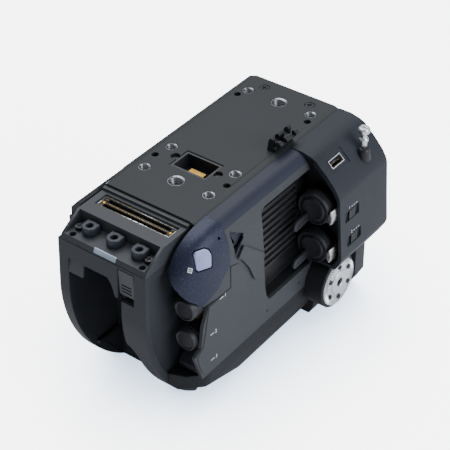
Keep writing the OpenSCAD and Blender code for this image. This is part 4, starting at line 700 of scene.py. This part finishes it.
def arc_plate(x0, x1, z0, z1, thickness, steps=12):
    """A plate on the rear arc: y = yc - sqrt(R^2 - (z - zc)^2), for R and R less the thickness."""
    back_r, face_r, edge = ARC_RADIUS - thickness, ARC_RADIUS, 0.3
    z = np.linspace(z0, z1, steps)
    outline = [(x0, back_r), (x0, face_r - edge), (x0 + edge, face_r), (x1 - edge, face_r),
               (x1, face_r - edge), (x1, back_r)]
    points = np.stack([np.stack([np.full(steps, x), ARC_Y - np.sqrt(r ** 2 - (z - ARC_Z) ** 2), z],
                                -1) for x, r in outline], 1)
    ends = [(points[i], np.array([(0, 1, 2, 3), (0, 3, 4, 5)])) for i in (0, -1)]
    return [(points.reshape(-1, 3), grid_faces(steps, 6))] + ends


plate_parts = arc_plate(-33.4, -16.5, 101.5, 120.8, 1.6)
new_object("bay_plate", joined("bay_plate", plate_parts), label_paint, "body", 30)

# %% [markdown]
# Plain numerals and short dashes stand beside the connectors, as printed white ink, and a plain
# square under the shoulder button. Each glyph is a flat mesh a few hundredths of a millimetre above
# its surface.

# %% Printed numerals
def numeral(text, place, across, upward, size):
    """Glyph point (x, y) goes to place + x across + y upward, all in mm."""
    curve = bpy.data.curves.new("numeral", "FONT")
    curve.body, curve.size, curve.align_x, curve.resolution_u = text, size, "CENTER", 3
    holder = bpy.data.objects.new("numeral", curve)
    bpy.context.scene.collection.objects.link(holder)
    flat = bpy.data.meshes.new_from_object(holder)
    glyph = points_of(flat)
    points = np.array(place) + glyph[:, :1] * np.array(across) + glyph[:, 1:2] * np.array(upward)
    faces = [tuple(face.vertices) for face in flat.polygons]
    bpy.data.objects.remove(holder)
    bpy.data.curves.remove(curve)
    bpy.data.meshes.remove(flat)
    return points, faces


def dash(place, across, upward, length, height):
    """A plain bar from place along across."""
    corners = np.array([(0, 0), (length, 0), (length, height), (0, height)], float)
    points = np.array(place) + corners[:, :1] * np.array(across) + corners[:, 1:] * np.array(upward)
    return points, [(0, 1, 2, 3)]


ALONG_Y, UP = (0, 1, 0), (0, 0, 1)
SLOPE = (-0.068, 0, 0.998)
marks = []
for text, y, z in (("1", -61.0, 88.5), ("2", -71.0, 66.0), ("3", -71.0, 45.0)):
    marks.append(dash((LABEL_FACE + 0.06, y - 2, z + 1.2), ALONG_Y, UP, 3.6, 0.6))
    marks.append(numeral(text, (LABEL_FACE + 0.06, y + 3.6, z), ALONG_Y, UP, 4.2))
for text, x, y, z in (("1", 76.15, 51.0, 101.3), ("2", 77.55, 52.9, 81.3)):
    marks.append(numeral(text, (x, y - 3.4, z), ALONG_Y, SLOPE, 3.2))
    marks += [dash((x, y + step, z + 0.5), ALONG_Y, SLOPE, 1.6, 0.4) for step in (-1.2, 1.4, 4.0)]
for text, z in (("1", 116.2), ("2", 84.9)):
    marks.append(numeral(text, (60.5, PANEL_Y - 0.05, z), (1, 0, 0), UP, 3.6))
SQUARE_CORNER = np.array((46.82, -83.0, 124.5))
SQUARE_ACROSS, SQUARE_DOWN = np.array((0.565, 0.68, -0.466)), np.array((0.056, -0.452, -0.89))
for across, down, wide, high in ((0, 0, 3, 0.5), (0, 2.5, 3, 0.5), (0, 0.5, 0.5, 2),
                                 (2.5, 0.5, 0.5, 2), (1.1, 1.1, 0.8, 0.8)):
    corner = SQUARE_CORNER + across * SQUARE_ACROSS + down * SQUARE_DOWN
    marks.append(dash(corner, SQUARE_ACROSS, SQUARE_DOWN, wide, high))
ink = bpy.data.meshes.new("printed_numerals")
starts = np.cumsum([0] + [len(points) for points, _ in marks]).tolist()
ink.from_pydata((np.concatenate([points for points, _ in marks]) * MM).tolist(), [],
                [tuple(v + first for v in face) for (_, faces), first in zip(marks, starts)
                 for face in faces])
new_object("printed_numerals", ink, print_white, "body")

# %% [markdown]
# The set is a plain pale floor under broad soft lamps, as in a product picture: one large lamp
# above and to the left, a weaker one on the right, and a pale sky that fills the shadows. The floor
# glows evenly for camera rays, and an ambient-occlusion ramp turns it bluish grey near the body:
# a painted contact shadow.

# %% Floor and lights
floor_mesh = bpy.data.meshes.new("floor")
floor_mesh.from_pydata([(-4, -4, 0), (4, -4, 0), (4, 4, 0), (-4, 4, 0)], [], [(0, 1, 2, 3)])
floor = bpy.data.objects.new("floor", floor_mesh)
bpy.context.scene.collection.objects.link(floor)
floor.location.z = -0.0002
floor_material, floor_tree, floor_shader, _ = start("studio_floor_painted_shadow", Roughness=0.7)
floor_shader.inputs["Base Color"].default_value = linear("#f7f8fb")
seen = add(floor_tree, "LightPath").outputs["Is Camera Ray"]
glow = add(floor_tree, "Math", {0: seen, 1: 5.0}, operation="MULTIPLY")
# Painted shadow: ambient occlusion turns the floor's glow bluish grey near the body.
near = add(floor_tree, "AmbientOcclusion", {"Distance": 0.09}, samples=8).outputs["AO"]
shade = ramp(floor_tree, near, [(0.25, "#7d8ea2"), (0.62, "#c9d6e2"), (0.9, "#ffffff")])
floor_tree.links.new(shade, floor_shader.inputs["Emission Color"])
floor_tree.links.new(glow.outputs[0], floor_shader.inputs["Emission Strength"])
floor_mesh.materials.append(floor_material)


def soft_lamp(name, place, aim, size, power, tone):
    """A square area lamp at place, turned so that it shines at aim."""
    data = bpy.data.lights.new(name, "AREA")
    data.shape, data.size, data.energy, data.color = "SQUARE", size, power, linear(tone)[:3]
    lamp = bpy.data.objects.new(name, data)
    bpy.context.scene.collection.objects.link(lamp)
    lamp.location = place
    lamp.rotation_euler = (Vector(aim) - Vector(place)).to_track_quat("-Z", "Y").to_euler()


soft_lamp("side_lamp", (1.5, 0.3, 0.8), (0, 0, 0.07), 1.2, 24, "#f4f8ff")
soft_lamp("top_lamp", (-0.5, 0.5, 1.6), (0, 0, 0.08), 1.4, 30, "#fbfcff")
world = bpy.data.worlds.new("studio")
bpy.context.scene.world = world
world.use_nodes = True
world.node_tree.nodes["Background"].inputs["Color"].default_value = linear("#f4f7ff")
world.node_tree.nodes["Background"].inputs["Strength"].default_value = 0.42
